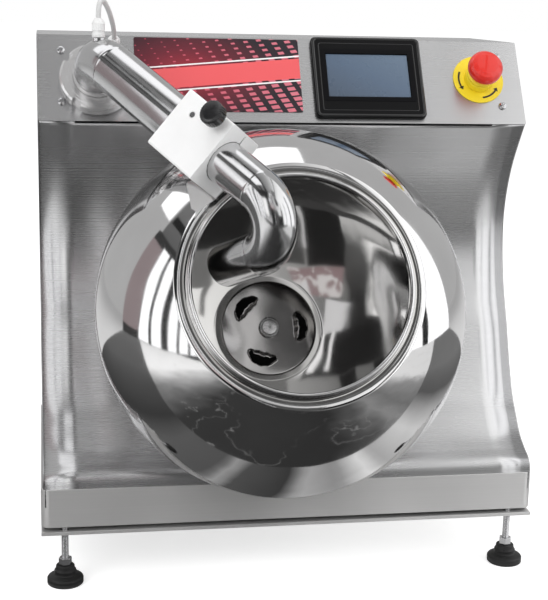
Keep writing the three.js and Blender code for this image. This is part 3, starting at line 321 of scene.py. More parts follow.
# Mesh helpers: shapes are written in millimetres and placed by a frame
def piece(name, verts, faces, place, mat, body, stands_for=(), sharp=32):
    mesh = bpy.data.meshes.new(name)
    mesh.from_pydata([tuple((place @ Vector(v)) * MM) for v in verts], [], faces)
    mesh.validate()
    bm = bmesh.new()
    bm.from_mesh(mesh)
    bmesh.ops.remove_doubles(bm, verts=bm.verts, dist=1e-7)
    bmesh.ops.recalc_face_normals(bm, faces=bm.faces)
    bm.to_mesh(mesh)
    bm.free()
    return adopt(name, mesh, mat, body, stands_for, sharp)


def adopt(name, mesh, mat, body, stands_for=(), sharp=32):
    obj = bpy.data.objects.new(name, mesh)
    bpy.context.scene.collection.objects.link(obj)
    mesh.materials.append(M[mat])
    mesh.polygons.foreach_set("use_smooth", [True] * len(mesh.polygons))
    mesh.set_sharp_from_angle(angle=rad(sharp))
    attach(obj, body)
    if stands_for:
        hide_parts(*stands_for)
    return obj


def bake(obj):
    """Writes an object's modifiers into its mesh."""
    bpy.context.view_layer.update()
    old = obj.data
    new = bpy.data.meshes.new_from_object(obj.evaluated_get(bpy.context.evaluated_depsgraph_get()))
    obj.modifiers.clear()
    obj.data = new
    new.name = old.name
    bpy.data.meshes.remove(old)


def soften(obj, width, segments, angle):
    """Rounds the edges sharper than an angle and keeps the large faces flat."""
    mod = obj.modifiers.new("edges", "BEVEL")
    mod.width = width * MM
    mod.segments = segments
    mod.limit_method = "ANGLE"
    mod.angle_limit = rad(angle)
    mod.use_clamp_overlap = True
    weighted = obj.modifiers.new("normals", "WEIGHTED_NORMAL")
    weighted.mode = "FACE_AREA"
    weighted.weight = 90
    weighted.keep_sharp = True
    bake(obj)


def refine(node, mat, width, segments, angle=40):
    """A CAD node with its flat faces merged and its edges rounded."""
    bm = bmesh.new()
    bm.from_mesh(NODES[node].data)
    bmesh.ops.remove_doubles(bm, verts=bm.verts, dist=2e-6)
    bmesh.ops.dissolve_limit(bm, angle_limit=rad(0.8), verts=bm.verts, edges=bm.edges)
    mesh = bpy.data.meshes.new(node + "_fine")
    verts = [tuple(v.co) for v in bm.verts]
    bm.verts.index_update()
    mesh.from_pydata(verts, [], [[v.index for v in f.verts] for f in bm.faces])
    bm.free()
    soften(adopt(node + "_fine", mesh, mat, BODY[node], (node,)), width, segments, angle)


def keep(node, mat):
    """A CAD node that shows as it is, with a better material."""
    obj = NODES[node]
    obj.data.materials.clear()
    obj.data.materials.append(M[mat])


def polar(radius, angle):
    return radius * math.cos(angle), radius * math.sin(angle)


def hexagon(radius, start=0):
    return [polar(radius, rad(60 * k + start)) for k in range(6)]


def oblong(width, height, radius, steps=6):
    """A rectangle with round corners."""
    out = []
    for quarter, (sx, sy) in enumerate(((1, 1), (-1, 1), (-1, -1), (1, -1))):
        for k in range(steps + 1):
            x, y = polar(radius, rad(90 * quarter + 90 * k / steps))
            out.append((sx * (width / 2 - radius) + x, sy * (height / 2 - radius) + y))
    return out


def numbered(count, length, first=0):
    """Rows of vertex numbers that follow on from each other."""
    return [list(range(first + i * length, first + (i + 1) * length)) for i in range(count)]


def joined(rows):
    """The faces between each closed row of vertices and the next; a row may repeat one point."""
    faces = []
    for lower, upper in zip(rows, rows[1:]):
        for k in range(len(lower)):
            j = (k + 1) % len(lower)
            quad = [lower[k], lower[j], upper[j], upper[k]]
            face = [v for i, v in enumerate(quad) if v not in quad[:i]]
            if len(face) > 2:
                faces.append(face)
    return faces


def rounded(points, radius, closed, steps=4):
    """A polyline with its corners rounded, apart from nearly straight ones and hairpins."""
    out = []
    n = len(points)
    for i in range(n):
        p = Vector(points[i])
        a = Vector(points[(i - 1) % n]) - p
        b = Vector(points[(i + 1) % n]) - p
        at_end = not closed and i in (0, n - 1)
        if at_end or a.length < 1e-6 or b.length < 1e-6:
            out.append(tuple(p))
            continue
        half = math.acos(max(-1.0, min(1.0, a.normalized().dot(b.normalized())))) / 2
        if half > rad(84) or half < rad(2):
            out.append(tuple(p))
            continue
        reach = min(radius / math.tan(half), a.length * 0.45, b.length * 0.45)
        start = p + a.normalized() * reach
        end = p + b.normalized() * reach
        for k in range(steps + 1):
            t = k / steps
            out.append(tuple(start * (1 - t) ** 2 + p * 2 * t * (1 - t) + end * t * t))
    return out


def lathe(name, profile, place, mat, body, stands_for=(), segs=96, fillet=0.3, closed=False, sharp=32,
          wave=None):
    """A revolved form about the frame's z axis; wave(angle, height) may add to a point's radius."""
    points = rounded(profile, fillet, closed) if fillet else profile
    verts, rows = [], []
    for r, z in points:
        if r < 1e-6:
            rows.append([len(verts)] * segs)
            verts.append((0, 0, z))
            continue
        rows.append(list(range(len(verts), len(verts) + segs)))
        for k in range(segs):
            a = 2 * math.pi * k / segs
            verts.append((*polar(r + (wave(a, z) if wave else 0), a), z))
    if closed:
        rows.append(rows[0])
    return piece(name, verts, joined(rows), place, mat, body, stands_for, sharp)


def sweep(name, centres, radii, place, mat, body, stands_for, sides, wall=None):
    """A round tube along centres; radii gives the outer radius at each, wall its thickness."""
    last = len(centres) - 1
    tangents = []
    for i in range(last + 1):
        tangents.append((centres[min(i + 1, last)] - centres[max(i - 1, 0)]).normalized())
    normal = tangents[0].orthogonal().normalized()
    rings = []
    for p, t, r in zip(centres, tangents, radii):
        normal = (normal - t * normal.dot(t)).normalized()
        rings.append((p, normal.copy(), t.cross(normal), r))
    if wall:
        rings += [(p, u, v, r - wall) for p, u, v, r in reversed(rings)]
    verts = []
    for p, u, v, r in rings:
        for k in range(sides):
            x, y = polar(r, 2 * math.pi * k / sides)
            verts.append(tuple(p + u * x + v * y))
    rows = numbered(len(rings), sides)
    faces = joined(rows + rows[:1]) if wall else joined(rows) + [rows[0][::-1], rows[-1]]
    return piece(name, verts, faces, place, mat, body, stands_for, 40)


def cutter(size, place):
    """A box that cuts, centred on its frame."""
    mesh = bpy.data.meshes.new("cutter")
    bm = bmesh.new()
    bmesh.ops.create_cube(bm, size=1.0)
    for v in bm.verts:
        v.co = (place @ Vector((v.co.x * size[0], v.co.y * size[1], v.co.z * size[2]))) * MM
    bm.to_mesh(mesh)
    bm.free()
    obj = bpy.data.objects.new("cutter", mesh)
    bpy.context.scene.collection.objects.link(obj)
    return obj


def carve(obj, cutters, width=0.0):
    """Takes the cutters out of an object and rounds its edges by a width."""
    for c in cutters:
        mod = obj.modifiers.new("cut", "BOOLEAN")
        mod.object = c
        mod.operation = "DIFFERENCE"
        mod.solver = "EXACT"
    bake(obj)
    for c in cutters:
        bpy.data.objects.remove(c)
    obj.data.polygons.foreach_set("use_smooth", [True] * len(obj.data.polygons))
    obj.data.set_sharp_from_angle(angle=rad(32))
    if width:
        soften(obj, width, 2, 35)


def slab(name, outline, z0, z1, place, mat, body, edge):
    """A flat plate from one outline, with rounded edges."""
    verts = [(x, y, z) for z in (z0, z1) for x, y in outline]
    rows = numbered(2, len(outline))
    faces = [rows[0][::-1], rows[1]] + joined(rows)
    soften(piece(name, verts, faces, place, mat, body, (), 40), edge, 2, 50)


def spline(points, count):
    """A smooth curve through the points."""
    out = []
    last = len(points) - 1
    for i in range(count + 1):
        t = last * i / count
        k = min(int(t), last)
        w = t - k
        p0 = points[k if k == 0 else k - 1]
        p1 = points[k]
        p2 = points[last if k > last - 1 else k + 1]
        p3 = points[last if k > last - 2 else k + 2]
        row = []
        for a, b, c, d in zip(p0, p1, p2, p3):
            v0, v1 = (c - a) * 0.5, (d - b) * 0.5
            cubic, square = 2 * b - 2 * c + v0 + v1, -3 * b + 3 * c - 2 * v0 - v1
            row.append(cubic * w ** 3 + square * w ** 2 + v0 * w + b)
        out.append(tuple(row))
    return out


# Front skin: the hollow's curve, as shares of its depth and of its height from the plinth up
SHARES = (
    (0.05, 0.034), (0.165, 0.055), (0.2875, 0.0835), (0.413, 0.134), (0.53, 0.188),
    (0.649, 0.277), (0.774, 0.3925), (0.875, 0.475), (0.946, 0.55), (0.99, 0.6275),
    (0.998, 0.707), (0.952, 0.793), (0.842, 0.884), (0.628, 1.0),
)
SKIN_Y = 2.5
SKIN_HALF = HALF_WIDTH - SHEET - FIT
SLOT_HALF, SLOT_HEIGHT = 238, 2.2
FOOT_Z = TOP - PANEL_LENGTH * math.cos(rad(90 - PANEL_LEAN))
HOLLOW_TOP = FOOT_Z - FIT
HOLLOW_HEIGHT = HOLLOW_TOP - PLINTH_TOP
knots = [(SKIN_Y, PLINTH_TOP)] + [(HOLLOW_DEPTH * y, PLINTH_TOP + HOLLOW_HEIGHT * z) for y, z in SHARES]
skin_line = [(SKIN_Y, PLINTH_TOP - 20), (SKIN_Y, PLINTH_TOP - 7.7)] + spline(knots, 168)
columns = (-SKIN_HALF, -SLOT_HALF, SLOT_HALF, SKIN_HALF)
skin_verts = [(x, y, z) for y, z in skin_line for x in columns]
skin_faces = []
for i in range(len(skin_line) - 1):
    in_slot = skin_line[i + 1][1] > HOLLOW_TOP - SLOT_HEIGHT
    for column in (0, 2) if in_slot else (0, 1, 2):
        a = 4 * i + column
        skin_faces.append([a, a + 1, a + 5, a + 4])
skin = piece("front_skin_fine", skin_verts, skin_faces, WORLD, "sheet", "cabinet", ("front_skin",), 50)
thick = skin.modifiers.new("sheet", "SOLIDIFY")
thick.thickness = SHEET * MM
thick.offset = -1
bake(skin)

# Side sheets, with a notch for the panel's foot
BAND_Y, BASE_TOP = 9.9, 63.6
NOTCH_Y, NOTCH_LOW, NOTCH_HIGH = 105.0, FOOT_Z - 0.05, FOOT_Z + 1.55
wall_front = [(BAND_Y, BASE_TOP), (BAND_Y, PLINTH_TOP + FIT), (SKIN_Y, PLINTH_TOP + FIT)]
wall_front += [q for q in skin_line if q[1] > PLINTH_TOP + FIT + 0.1]
wall_front += [(wall_front[-1][0], NOTCH_LOW), (NOTCH_Y, NOTCH_LOW), (NOTCH_Y, NOTCH_HIGH)]
wall_front += [(88.06, NOTCH_HIGH), (142.2, 593.2)]


def side_sheet(node, x0, x1):
    """A side sheet in level strips, its front edge on the skin's curve."""
    verts, faces = [], []
    for y, z in wall_front:
        verts += [(x0, y, z), (x1, y, z), (x0, REAR_Y, z), (x1, REAR_Y, z)]
    last = 4 * (len(wall_front) - 1)
    for i in range(len(wall_front) - 1):
        a, b = 4 * i, 4 * i + 4
        faces.append([a, b, b + 1, a + 1])
        if wall_front[i + 1][1] - wall_front[i][1] > 1e-4:
            faces += [[a, a + 2, b + 2, b], [a + 1, b + 1, b + 3, a + 3], [a + 2, a + 3, b + 3, b + 2]]
    faces += [[0, 1, 3, 2], [last, last + 2, last + 3, last + 1]]
    piece(node + "_fine", verts, faces, WORLD, "sheet_up", "cabinet", (node,), 30)


def cover_sheet(front, rear, top, lip):
    """The top cover, its rear edge folded down to a lip."""
    bend = 1.9
    outer, inner = [(front, top), (rear - bend, top)], [(front, top - SHEET), (rear - bend, top - SHEET)]
    for k in range(1, 7):
        for line, radius in ((outer, bend), (inner, bend - SHEET)):
            y, z = polar(radius, rad(90 - 15 * k))
            line.append((rear - bend + y, top - bend + z))
    outer.append((rear, lip))
    inner.append((rear - SHEET, lip))
    verts, faces = [], []
    for line in zip(outer, inner):
        verts += [(x, y, z) for y, z in line for x in (-HALF_WIDTH, HALF_WIDTH)]
    last = 4 * (len(outer) - 1)
    for i in range(len(outer) - 1):
        a, b = 4 * i, 4 * i + 4
        faces += [[a, a + 1, b + 1, b], [a + 2, b + 2, b + 3, a + 3]]
        faces += [[a, b, b + 2, a + 2], [a + 1, a + 3, b + 3, b + 1]]
    faces += [[0, 2, 3, 1], [last, last + 1, last + 3, last + 2]]
    soften(piece("top_cover_fine", verts, faces, WORLD, "sheet", "cabinet", ("top_cover",), 30), 0.3, 2, 50)


# The rest of the cabinet, and what is inside it
refine("control_panel", "sheet", 1.4, 4, 28)
# The plinth band and base plate take the lighter copy of the steel, painted light
refine("plinth_band", "band", 0.5, 2)
refine("base_plate", "band", 0.4, 2)
cover_sheet(161.51, 319.92, TOP, TOP - 15)
side_sheet("left_side", -HALF_WIDTH, SHEET - HALF_WIDTH)
side_sheet("right_side", HALF_WIDTH - SHEET, HALF_WIDTH)
refine("rear_panel", "sheet", 0.4, 1)
INSIDE = {
    "drive_bracket": "plain", "blower_housing": "cast", "blower_motor": "grey", "bearing_housing": "cast",
    "gearbox": "grey", "drive_motor": "grey", "control_box": "grey", "blower_impeller": "black",
    "display_case": "black", "stop_block": "black",
}
for node, mat in INSIDE.items():
    keep(node, mat)
refine("drum_hub", "plain", 0.6, 2)
refine("shaft_seal", "rubber", 0.6, 2)
refine("mains_gland", "black", 0.4, 2)

# Pan-head screws with a cross recess
SCREW = [(0, -8.9), (2.3, -8.9), (2.3, 0.4), (4.6, 0.4), (4.6, 1.2), (3.9, 2.3), (2.4, 2.9), (0, 3.0)]
RECESS = ((4.6, 0.9, 2.4), (0.9, 4.6, 2.4))
for index, (down, x) in enumerate((down, x) for down in SCREW_ROWS for x in (-SCREW_X, SCREW_X)):
    node = "panel_screw_%d" % (index + 1)
    place = PANEL @ move(x, -down) @ turn(20 + 31 * index, "Z")
    screw = lathe(node + "_fine", SCREW, place, "bright", "cabinet", (node,), 40)
    carve(screw, [cutter(size, place @ move(0, 0, 2.8)) for size in RECESS])

# Drum: a bowl of two half ellipses with a flat floor, and a collar with a rolled rim
FLOOR_R = 60
SHELL_STEPS = 60
BEAD_R, BEAD_X, BEAD_Z = 2.3, 112.7, 215.7


def shell_line(radius, front, level, collar):
    """The bowl's outline from its floor at a level, over the equator, to the collar."""
    start = math.acos(FLOOR_R / radius)
    rear = (EQUATOR - level) / math.sin(start)
    end = math.acos(collar / radius)
    line = []
    for i in range(SHELL_STEPS):
        a = start * (1 - i / SHELL_STEPS)
        line.append((radius * math.cos(a), EQUATOR - rear * math.sin(a)))
    for i in range(SHELL_STEPS + 1):
        a = end * i / SHELL_STEPS
        line.append((radius * math.cos(a), EQUATOR + front * math.sin(a)))
    return line


outer = shell_line(DRUM_R, 156, -DRUM_WALL, 126)
inner = shell_line(DRUM_R - DRUM_WALL, 152, 0, 124)
collar = outer[-1][1] - 0.8
ring = [(36, -DRUM_WALL)] + outer + [(121, collar + 0.2), (118.6, collar), (116.6, collar + 0.1)]
ring += [(115.2, collar + 1.0), (114.6, collar + 2.2)]
for degrees in range(-50, 231, 12):
    x, z = polar(BEAD_R, rad(degrees))
    ring.append((BEAD_X + x, BEAD_Z + z))
ring += [(110.6, collar - 0.4), (111.0, collar - 1.6), (113, collar - 2.2)] + inner[::-1] + [(36, 0)]
shell_nodes = ("drum_back", "drum_rear_ring", "drum_front_ring", "drum_collar")
shell = lathe("drum_shell_fine", ring, DRUM, "mirror", "drum", shell_nodes, 160, 0, True, 50)
# The inside takes the darker copy of the steel, painted shade for the hollow
shell.data.materials.append(M["inner"])

# The ellipse halfway through the wall parts the inner face from the outer one
MIDDLE_R, MIDDLE_REAR, MIDDLE_FRONT = 200.4, 95.8, 154.0
INNER_TOP = 211.5


def on_inner_face(x, y, z):
    reach = MIDDLE_REAR if z < EQUATOR else MIDDLE_FRONT
    limit = MIDDLE_R * math.sqrt(max(0.0, 1 - ((z - EQUATOR) / reach) ** 2))
    r = math.hypot(x, y)
    return z < INNER_TOP and (r < limit or (-1 < z < 2 and r < FLOOR_R + 1))


for poly in shell.data.polygons:
    if on_inner_face(*(DRUM.inverted() @ (Vector(poly.center) / MM))):
        poly.material_index = 1

# Back plate: a low dome with three pressed scoops, their open faces painted black as painted shade
PLATE_TOP, PLATE_DOME, PLATE_EDGE = 2.5, 1.3, 53.6
PLATE_ROWS, PLATE_SEGS = 84, 216
SCOOP_TURNS, SCOOP_OUT, SCOOP_RISE = (rad(137), rad(2), rad(254)), 35.0, 4.4
SCOOP_REACH, SCOOP_HALF = 8.0, 17


def scoop_place(x, y):
    """Place across and along the nearest scoop, and its depth inside that scoop's outline."""
    best = (0.0, 0.0, 9.0)
    for a in SCOOP_TURNS:
        u = x * math.cos(a) + y * math.sin(a) - SCOOP_OUT
        v = -x * math.sin(a) + y * math.cos(a)
        u += 0.014 * v * v + 0.45 * math.sin(v * 0.7 + a) + 0.3 * math.sin(v * 1.7 + 2 * a)
        d = ((u - 2.0) / SCOOP_REACH) ** 2 + (v / SCOOP_HALF) ** 2
        if d < best[2]:
            best = (u, v, d)
    return best


def plate_height(x, y):
    r = math.hypot(x, y)
    h = PLATE_TOP - PLATE_DOME * (r / PLATE_R) ** 2
    u, v, d = scoop_place(x, y)
    if d < 1:
        rise = 1 - ((u + 1.0) / 5.0) ** 2 if u < -1.0 else 1 - 0.85 * ((u + 1.0) / 11.0)
        h += SCOOP_RISE * max(0.0, rise) * (1 - d) ** 0.45
    return h - 0.7 * max(0.0, (r - PLATE_EDGE) / (PLATE_R - PLATE_EDGE)) ** 2


plate_verts = [(0, 0, plate_height(0, 0))]
for i in range(1, PLATE_ROWS + 1):
    for k in range(PLATE_SEGS):
        x, y = polar(PLATE_R * i / PLATE_ROWS, 2 * math.pi * k / PLATE_SEGS)
        plate_verts.append((x, y, plate_height(x, y)))
plate_verts += [(*polar(PLATE_R, 2 * math.pi * k / PLATE_SEGS), 0.0) for k in range(PLATE_SEGS)]
plate_rows = [[0] * PLATE_SEGS] + numbered(PLATE_ROWS + 1, PLATE_SEGS, 1) + [[len(plate_verts)] * PLATE_SEGS]
plate_verts.append((0, 0, 0))
plate = piece("drum_back_plate_fine", plate_verts, joined(plate_rows), DRUM @ move(0, 0, FIT), "pan", "drum",
              ("drum_back_plate",), 38)
# The scoops' open faces take the black: painted shade, since the plate has no holes there
plate.data.materials.append(M["painted_scoop_shade"])
for poly in plate.data.polygons:
    x, y, z = DRUM.inverted() @ (Vector(poly.center) / MM)
    u, v, d = scoop_place(x, y)
    if d < 0.9 and u > -0.2 and z > 1.2:
        poly.material_index = 1
HUB_CAP = [
    (0, 0), (11.8, 0), (11.8, 3.0), (11.2, 3.8), (10.4, 4.0), (9.9, 3.0), (9.3, 3.0), (8.9, 4.6), (8.3, 5.2),
    (1.1, 5.9), (0.7, 5.2), (0, 5.0),
]
lathe("hub_cap_fine", HUB_CAP, DRUM @ move(0, 0, 3.1), "cap", "drum", ("hub_cap",), 72)


# Duct and nozzle
def route(straight, radius, angle, reach, start, step=1.2):
    """Centres along a straight run, a bend and a second run, the length at each, and those of the seams."""
    a = rad(angle)
    n = max(2, int((straight - start) / step))
    pts = [Vector((0, 0, start + (straight - start) * i / n)) for i in range(n)]
    n = max(8, int(radius * a / step))
    for u in [a * i / n for i in range(n)]:
        pts.append(Vector((radius * (1 - math.cos(u)), 0, straight + radius * math.sin(u))))
    end = Vector((radius * (1 - math.cos(a)), 0, straight + radius * math.sin(a)))
    heading = Vector((math.sin(a), 0, math.cos(a)))
    n = max(2, int(reach / step))
    pts += [end + heading * (reach * i / n) for i in range(n + 1)]
    total = [0.0]
    for p, q in zip(pts, pts[1:]):
        total.append(total[-1] + (q - p).length)
    return pts, total, (straight - start, straight - start + radius * a)


def seamed(total, seams, radius):
    """The tube's radius at each length: a low bead at the seams and softened ends."""
    out = []
    for s in total:
        r = radius
        for seam in seams:
            r += 0.28 * math.exp(-((s - seam) / 0.75) ** 2)
        for end in (0.0, total[-1]):
            r -= 0.35 * math.exp(-abs(s - end) / 0.4) if abs(s - end) < 0.8 else 0.0
        out.append(r)
    return out


def tube(node, path, radius, place, body, sides):
    pts, total, seams = path
    sweep(node + "_fine", pts, seamed(total, seams, radius), place, "tube", body, (node,), sides, TUBE_WALL)


DUCT_START, IN_BLOCK = 12.3, 36
tangent = DUCT_BEND_R * math.tan(rad(DUCT_BEND) / 2)
duct_path = route(DUCT_RUN - tangent, DUCT_BEND_R, DUCT_BEND, BLOCK_START + IN_BLOCK - tangent, DUCT_START)
tube("duct_elbow", duct_path, DUCT_R, DUCT, "cabinet", 88)
LINER = [
    (25.6, DUCT_START), (28, DUCT_START), (28, 15.2), (26.6, 15.2), (26.6, 21.0), (26.2, 22.0), (26.2, 25.0),
    (25.7, 26.4), (25.5, 26.4),
]
lathe("duct_liner", LINER, DUCT, "nut", "cabinet", closed=True)
NOZZLE_RUN, NOZZLE_BEND_R, NOZZLE_BEND, NOZZLE_REACH = 53, 34, 133.5, 60
nozzle_path = route(BLOCK_END + NOZZLE_RUN, NOZZLE_BEND_R, NOZZLE_BEND, NOZZLE_REACH, BLOCK_END - 34)
tube("nozzle_tube", nozzle_path, NOZZLE_R, NOZZLE, "nozzle", 80)

FLANGE = [(23.9, -15.9), (25.3, -15.9), (25.3, 0.4), (37, 0.4), (37, 3.4), (28, 3.4), (28, 12), (23.9, 12)]
lathe("duct_flange_fine", FLANGE, DUCT, "nut", "cabinet", ("duct_flange",), closed=True)
NUT_R = 41
NUT = [
    (28.4, 3.7), (38.6, 3.7), (NUT_R, 5.6), (NUT_R, 16.8), (39, 18.7), (33.2, 18.7), (32.4, 18.2),
    (26.9, 18.2), (26.9, 16.2), (28.4, 15.8),
]
nut = lathe("union_nut_fine", NUT, DUCT, "nut", "cabinet", ("union_nut",), 128, closed=True)
notches = [DUCT @ turn(54 + DUCT_TURN + 90 * i, "Z") @ move(NUT_R, 0, 11) for i in range(4)]
carve(nut, [cutter((10, 11, 40), place) for place in notches], 0.35)

refine("clamp_block", "white", 0.9, 3)
refine("set_screw", "bright", 0.2, 1)


def ribs(count, depth, low, high):
    """A wave for lathe: grooves round a form between two heights."""
    def wave(angle, height):
        if low < height < high:
            return -depth * (0.5 - 0.5 * math.cos(angle * count)) ** 2
        return 0.0
    return wave


KNOB = [
    (0, -57), (3, -57), (3, 0), (9.0, 0), (9.6, 2.2), (11.3, 2.6), (12.5, 3.4), (12.5, 12.4), (11.3, 13.6),
    (9.6, 13.9), (8.8, 13.3), (2.4, 13.0), (0, 13.0),
]
place = BLOCK @ move(27 + 7, -28, BLOCK_END - 16) @ turn(90, "Y")
grip = ribs(30, 0.7, 2.4, 13.7)
lathe("clamp_knob_fine", KNOB, place, "knob", "knob", ("clamp_knob",), 180, 0.35, wave=grip)

# Glands and the sensor cable
GLAND = [
    (6.6, 0.3), (6.6, 4.4), (6.0, 4.9), (6.0, 7.0), (7.0, 7.4), (7.0, 14.8), (6.2, 16.4), (4.4, 19.4),
    (3.3, GLAND_HEIGHT), (0, GLAND_HEIGHT),
]
BOSS_HEIGHT = 20
BOSS = [(0, 4), (7, 4), (7, 19.6), (6.4, BOSS_HEIGHT), (0, BOSS_HEIGHT)]
corner = DUCT @ Vector((0, 0, DUCT_RUN))


def gland(node, place, shank, depth):
    profile = [(0, -depth), (shank, -depth), (shank, 0.3)] + GLAND
    grip = ribs(14, 0.45, 7.6, 15.2)
    lathe(node + "_fine", profile, place, "gland", "cabinet", (node,), wave=grip)
    slab(node + "_fine_hex", hexagon(7), 0.35, 4.4, place, "gland", "cabinet", 0.35)


gland("probe_gland", move(corner.x, corner.y, corner.z + BOSS_HEIGHT), 2, 25.8)
gland("panel_gland", PANEL @ move(*GLAND_PLACE), 3.9, 8)
lathe("probe_boss", BOSS, move(*corner), "tube", "cabinet", (), 64)

CABLE_R, CABLE_STEPS = 2.7, 40
start = Vector((corner.x, corner.y, corner.z + BOSS_HEIGHT + GLAND_HEIGHT + FIT))
end = PANEL @ Vector((*GLAND_PLACE, GLAND_HEIGHT + FIT))
normal = (PANEL.to_3x3() @ Vector((0, 0, 1))).normalized()
controls = [start, start + Vector((0, 0, 43.6)), end + normal * 34, end]
cable_points = []
for i in range(CABLE_STEPS + 1):
    t = i / CABLE_STEPS
    w = ((1 - t) ** 3, 3 * t * (1 - t) ** 2, 3 * t * t * (1 - t), t ** 3)
    cable_points.append(sum((c * k for c, k in zip(controls, w)), Vector((0, 0, 0))))
radii = [CABLE_R] * len(cable_points)
cable = sweep("sensor_cable_fine", cable_points, radii, move(0, 0), "cable", "cabinet", ("sensor_cable",), 24)


# Label with a generic pattern
def label_material():
    m = Nodes("label_print")
    m.set(Metallic=0.0, Coat_Weight=0.25)
    x, y = m.on_panel(LABEL_PLACE)
    # Slanted bars that grow from left to right, over a red glow on black
    slant = m.math("ADD", x, m.times(y, 0.55))
    across = m.gap(m.math("FRACT", m.times(slant, 62.0)), 0.5)
    step = m.math("SUBTRACT", y, m.times(x, 0.16))
    rung = m.gap(m.math("FRACT", m.times(step, 150.0)), 0.5)
    size = m.span(m.math("SUBTRACT", x, y), 0.06, 0.3, -0.1, 0.11)
    mark = m.times(m.less(across, size), m.less(rung, m.times(size, 1.15)))
    wide = m.math("POWER", m.math("ADD", x, 0.035), 2.0)
    high = m.math("POWER", m.times(y, 1.7), 2.0)
    far = m.span(m.math("SQRT", m.math("ADD", wide, high)), 0.0, 1.0, 0.01, 0.105)
    red = m.ramp(far, [(0.0, (0.33, 0.012, 0.03)), (0.45, (0.14, 0.006, 0.02)), (1.0, (0.012, 0.006, 0.012))])
    ink = m.mix(m.span(x, 0.0, 1.0, -0.09, 0.09), (0.62, 0.06, 0.11), (0.78, 0.20, 0.26))
    base = m.mix(m.times(mark, 0.85), red, ink)
    # One rising band with a pale line along each edge
    off = m.gap(y, m.times(x, 0.10))
    base = m.mix(m.less(off, 0.0125), base, (0.83, 0.10, 0.11))
    base = m.mix(m.less(m.gap(off, 0.0155), 0.0009), base, (0.9, 0.88, 0.88))
    return m.out(base, m.span(m.noise(40.0, 3.0), 0.3, 0.38))


M["label"] = label_material()
refine("label_plate", "label", 0.2, 1)


# Operator display
def screen_material():
    m = Nodes("screen_glass")
    m.set(Metallic=0.0, Coat_Weight=1.0, Coat_Roughness=0.03, Roughness=0.35)
    x, y = m.on_panel(LENS_PLACE)
    t = m.math("ADD", m.math("ADD", m.times(x, 5.0), m.times(y, 9.0)), 0.5)
    tone = m.ramp(t, [(0.0, (0.035, 0.06, 0.10)), (0.5, (0.06, 0.105, 0.175)), (1.0, (0.10, 0.155, 0.23))])
    pixels = m.noise(1.0, 1.0, (3400, 3400, 3400))
    tone = m.mix(m.span(pixels, 0.0, 0.12), tone, (0.05, 0.07, 0.10))
    return m.out(tone, m.span(m.noise(60.0, 2.0), 0.25, 0.33))


M["screen"] = screen_material()
refine("display_bezel", "bezel", 1.3, 3)
refine("display_screen", "screen", 0.2, 1)
LENS_FRAME = ((107, 66, 2.5, 5.9), (107, 66, 2.5, 6.35), (96.4, 55.2, 0.8, 6.35), (96.4, 55.2, 0.8, 5.3))
verts = [(x, y, z) for width, height, radius, z in LENS_FRAME for x, y in oblong(width, height, radius)]
faces = joined(numbered(len(LENS_FRAME), len(verts) // len(LENS_FRAME)))
piece("display_lens_frame", verts, faces, PANEL @ move(*LENS_PLACE), "lens", "cabinet", (), 30)


def beading(name, width, height, radius, z, thick, sides=10):
    """A flattened round bead along an oblong on the bezel."""
    loop = [Vector((x, y, z)) for x, y in oblong(width, height, radius)]
    verts = []
    for i, p in enumerate(loop):
        along = (loop[(i + 1) % len(loop)] - loop[i - 1]).normalized()
        outward = along.cross(Vector((0, 0, 1)))
        for k in range(sides):
            x, y = polar(thick, 2 * math.pi * k / sides)
            verts.append(tuple(p + outward * (1.3 * x) + Vector((0, 0, 0.5 * y))))
    rows = numbered(len(loop), sides)
    piece(name, verts, joined(rows + rows[:1]), PANEL @ move(*BEZEL_PLACE), "gloss", "cabinet", (), 60)


beading("display_rim", 123.4, 97.4, 5.0, 5.9, 1.3)
beading("display_groove", 111, 85, 2.5, 6.0, 0.4)

# Stop button, with turn arrows on its ring
STOP = PANEL @ move(*STOP_PLACE)
RING = [(11, 0.35), (30, 0.35), (30, 1.3), (11, 1.3)]
COLLAR = [
    (9.3, 1.6), (17, 1.6), (17, 10.5), (16.4, 11.0), (16.4, 12.4), (17, 12.9), (17, 15.8), (15.2, 17.5),
    (9.3, 17.5),
]
HEAD = [
    (0, -12), (9, -12), (9, 23.6), (18.2, 23.6), (19.6, 24.8), (20, 26.4), (20, 30.2), (19.2, 33.4),
    (16.6, 36.4), (12.0, 38.0), (6.0, 38.6), (0, 38.6),
]
lathe("stop_label_fine", RING, STOP, "yellow", "cabinet", ("stop_label",), 128, 0.2, True)
lathe("stop_collar_fine", COLLAR, STOP, "yellow", "cabinet", ("stop_collar",), 96, 0.4, True)
lathe("stop_button_fine", HEAD, STOP, "red", "stop_head", ("stop_button",), 96, 1.2)
ARROW_R, ARROW_HALF, ARROW_HEAD, ARROW_Z = 23.5, 1.1, 3.2, 1.38
ARROW_SWEEP, ARROW_TIP, ARROW_STEPS = 24, 34, 12
for index, middle in enumerate((60, 180, 300)):
    verts = []
    for k in range(ARROW_STEPS + 1):
        a = rad(middle - ARROW_SWEEP + 2 * ARROW_SWEEP * k / ARROW_STEPS)
        verts += [(*polar(ARROW_R + half, a), ARROW_Z) for half in (-ARROW_HALF, ARROW_HALF)]
    faces = [[2 * k, 2 * k + 1, 2 * k + 3, 2 * k + 2] for k in range(ARROW_STEPS)]
    faces.append([len(verts), len(verts) + 1, len(verts) + 2])
    verts += [(*polar(ARROW_R + half, a), ARROW_Z) for half in (-ARROW_HEAD, ARROW_HEAD)]
    verts.append((*polar(ARROW_R, rad(middle + ARROW_TIP)), ARROW_Z))
    piece("stop_arrow_%d" % (index + 1), verts, faces, STOP, "mark", "cabinet")


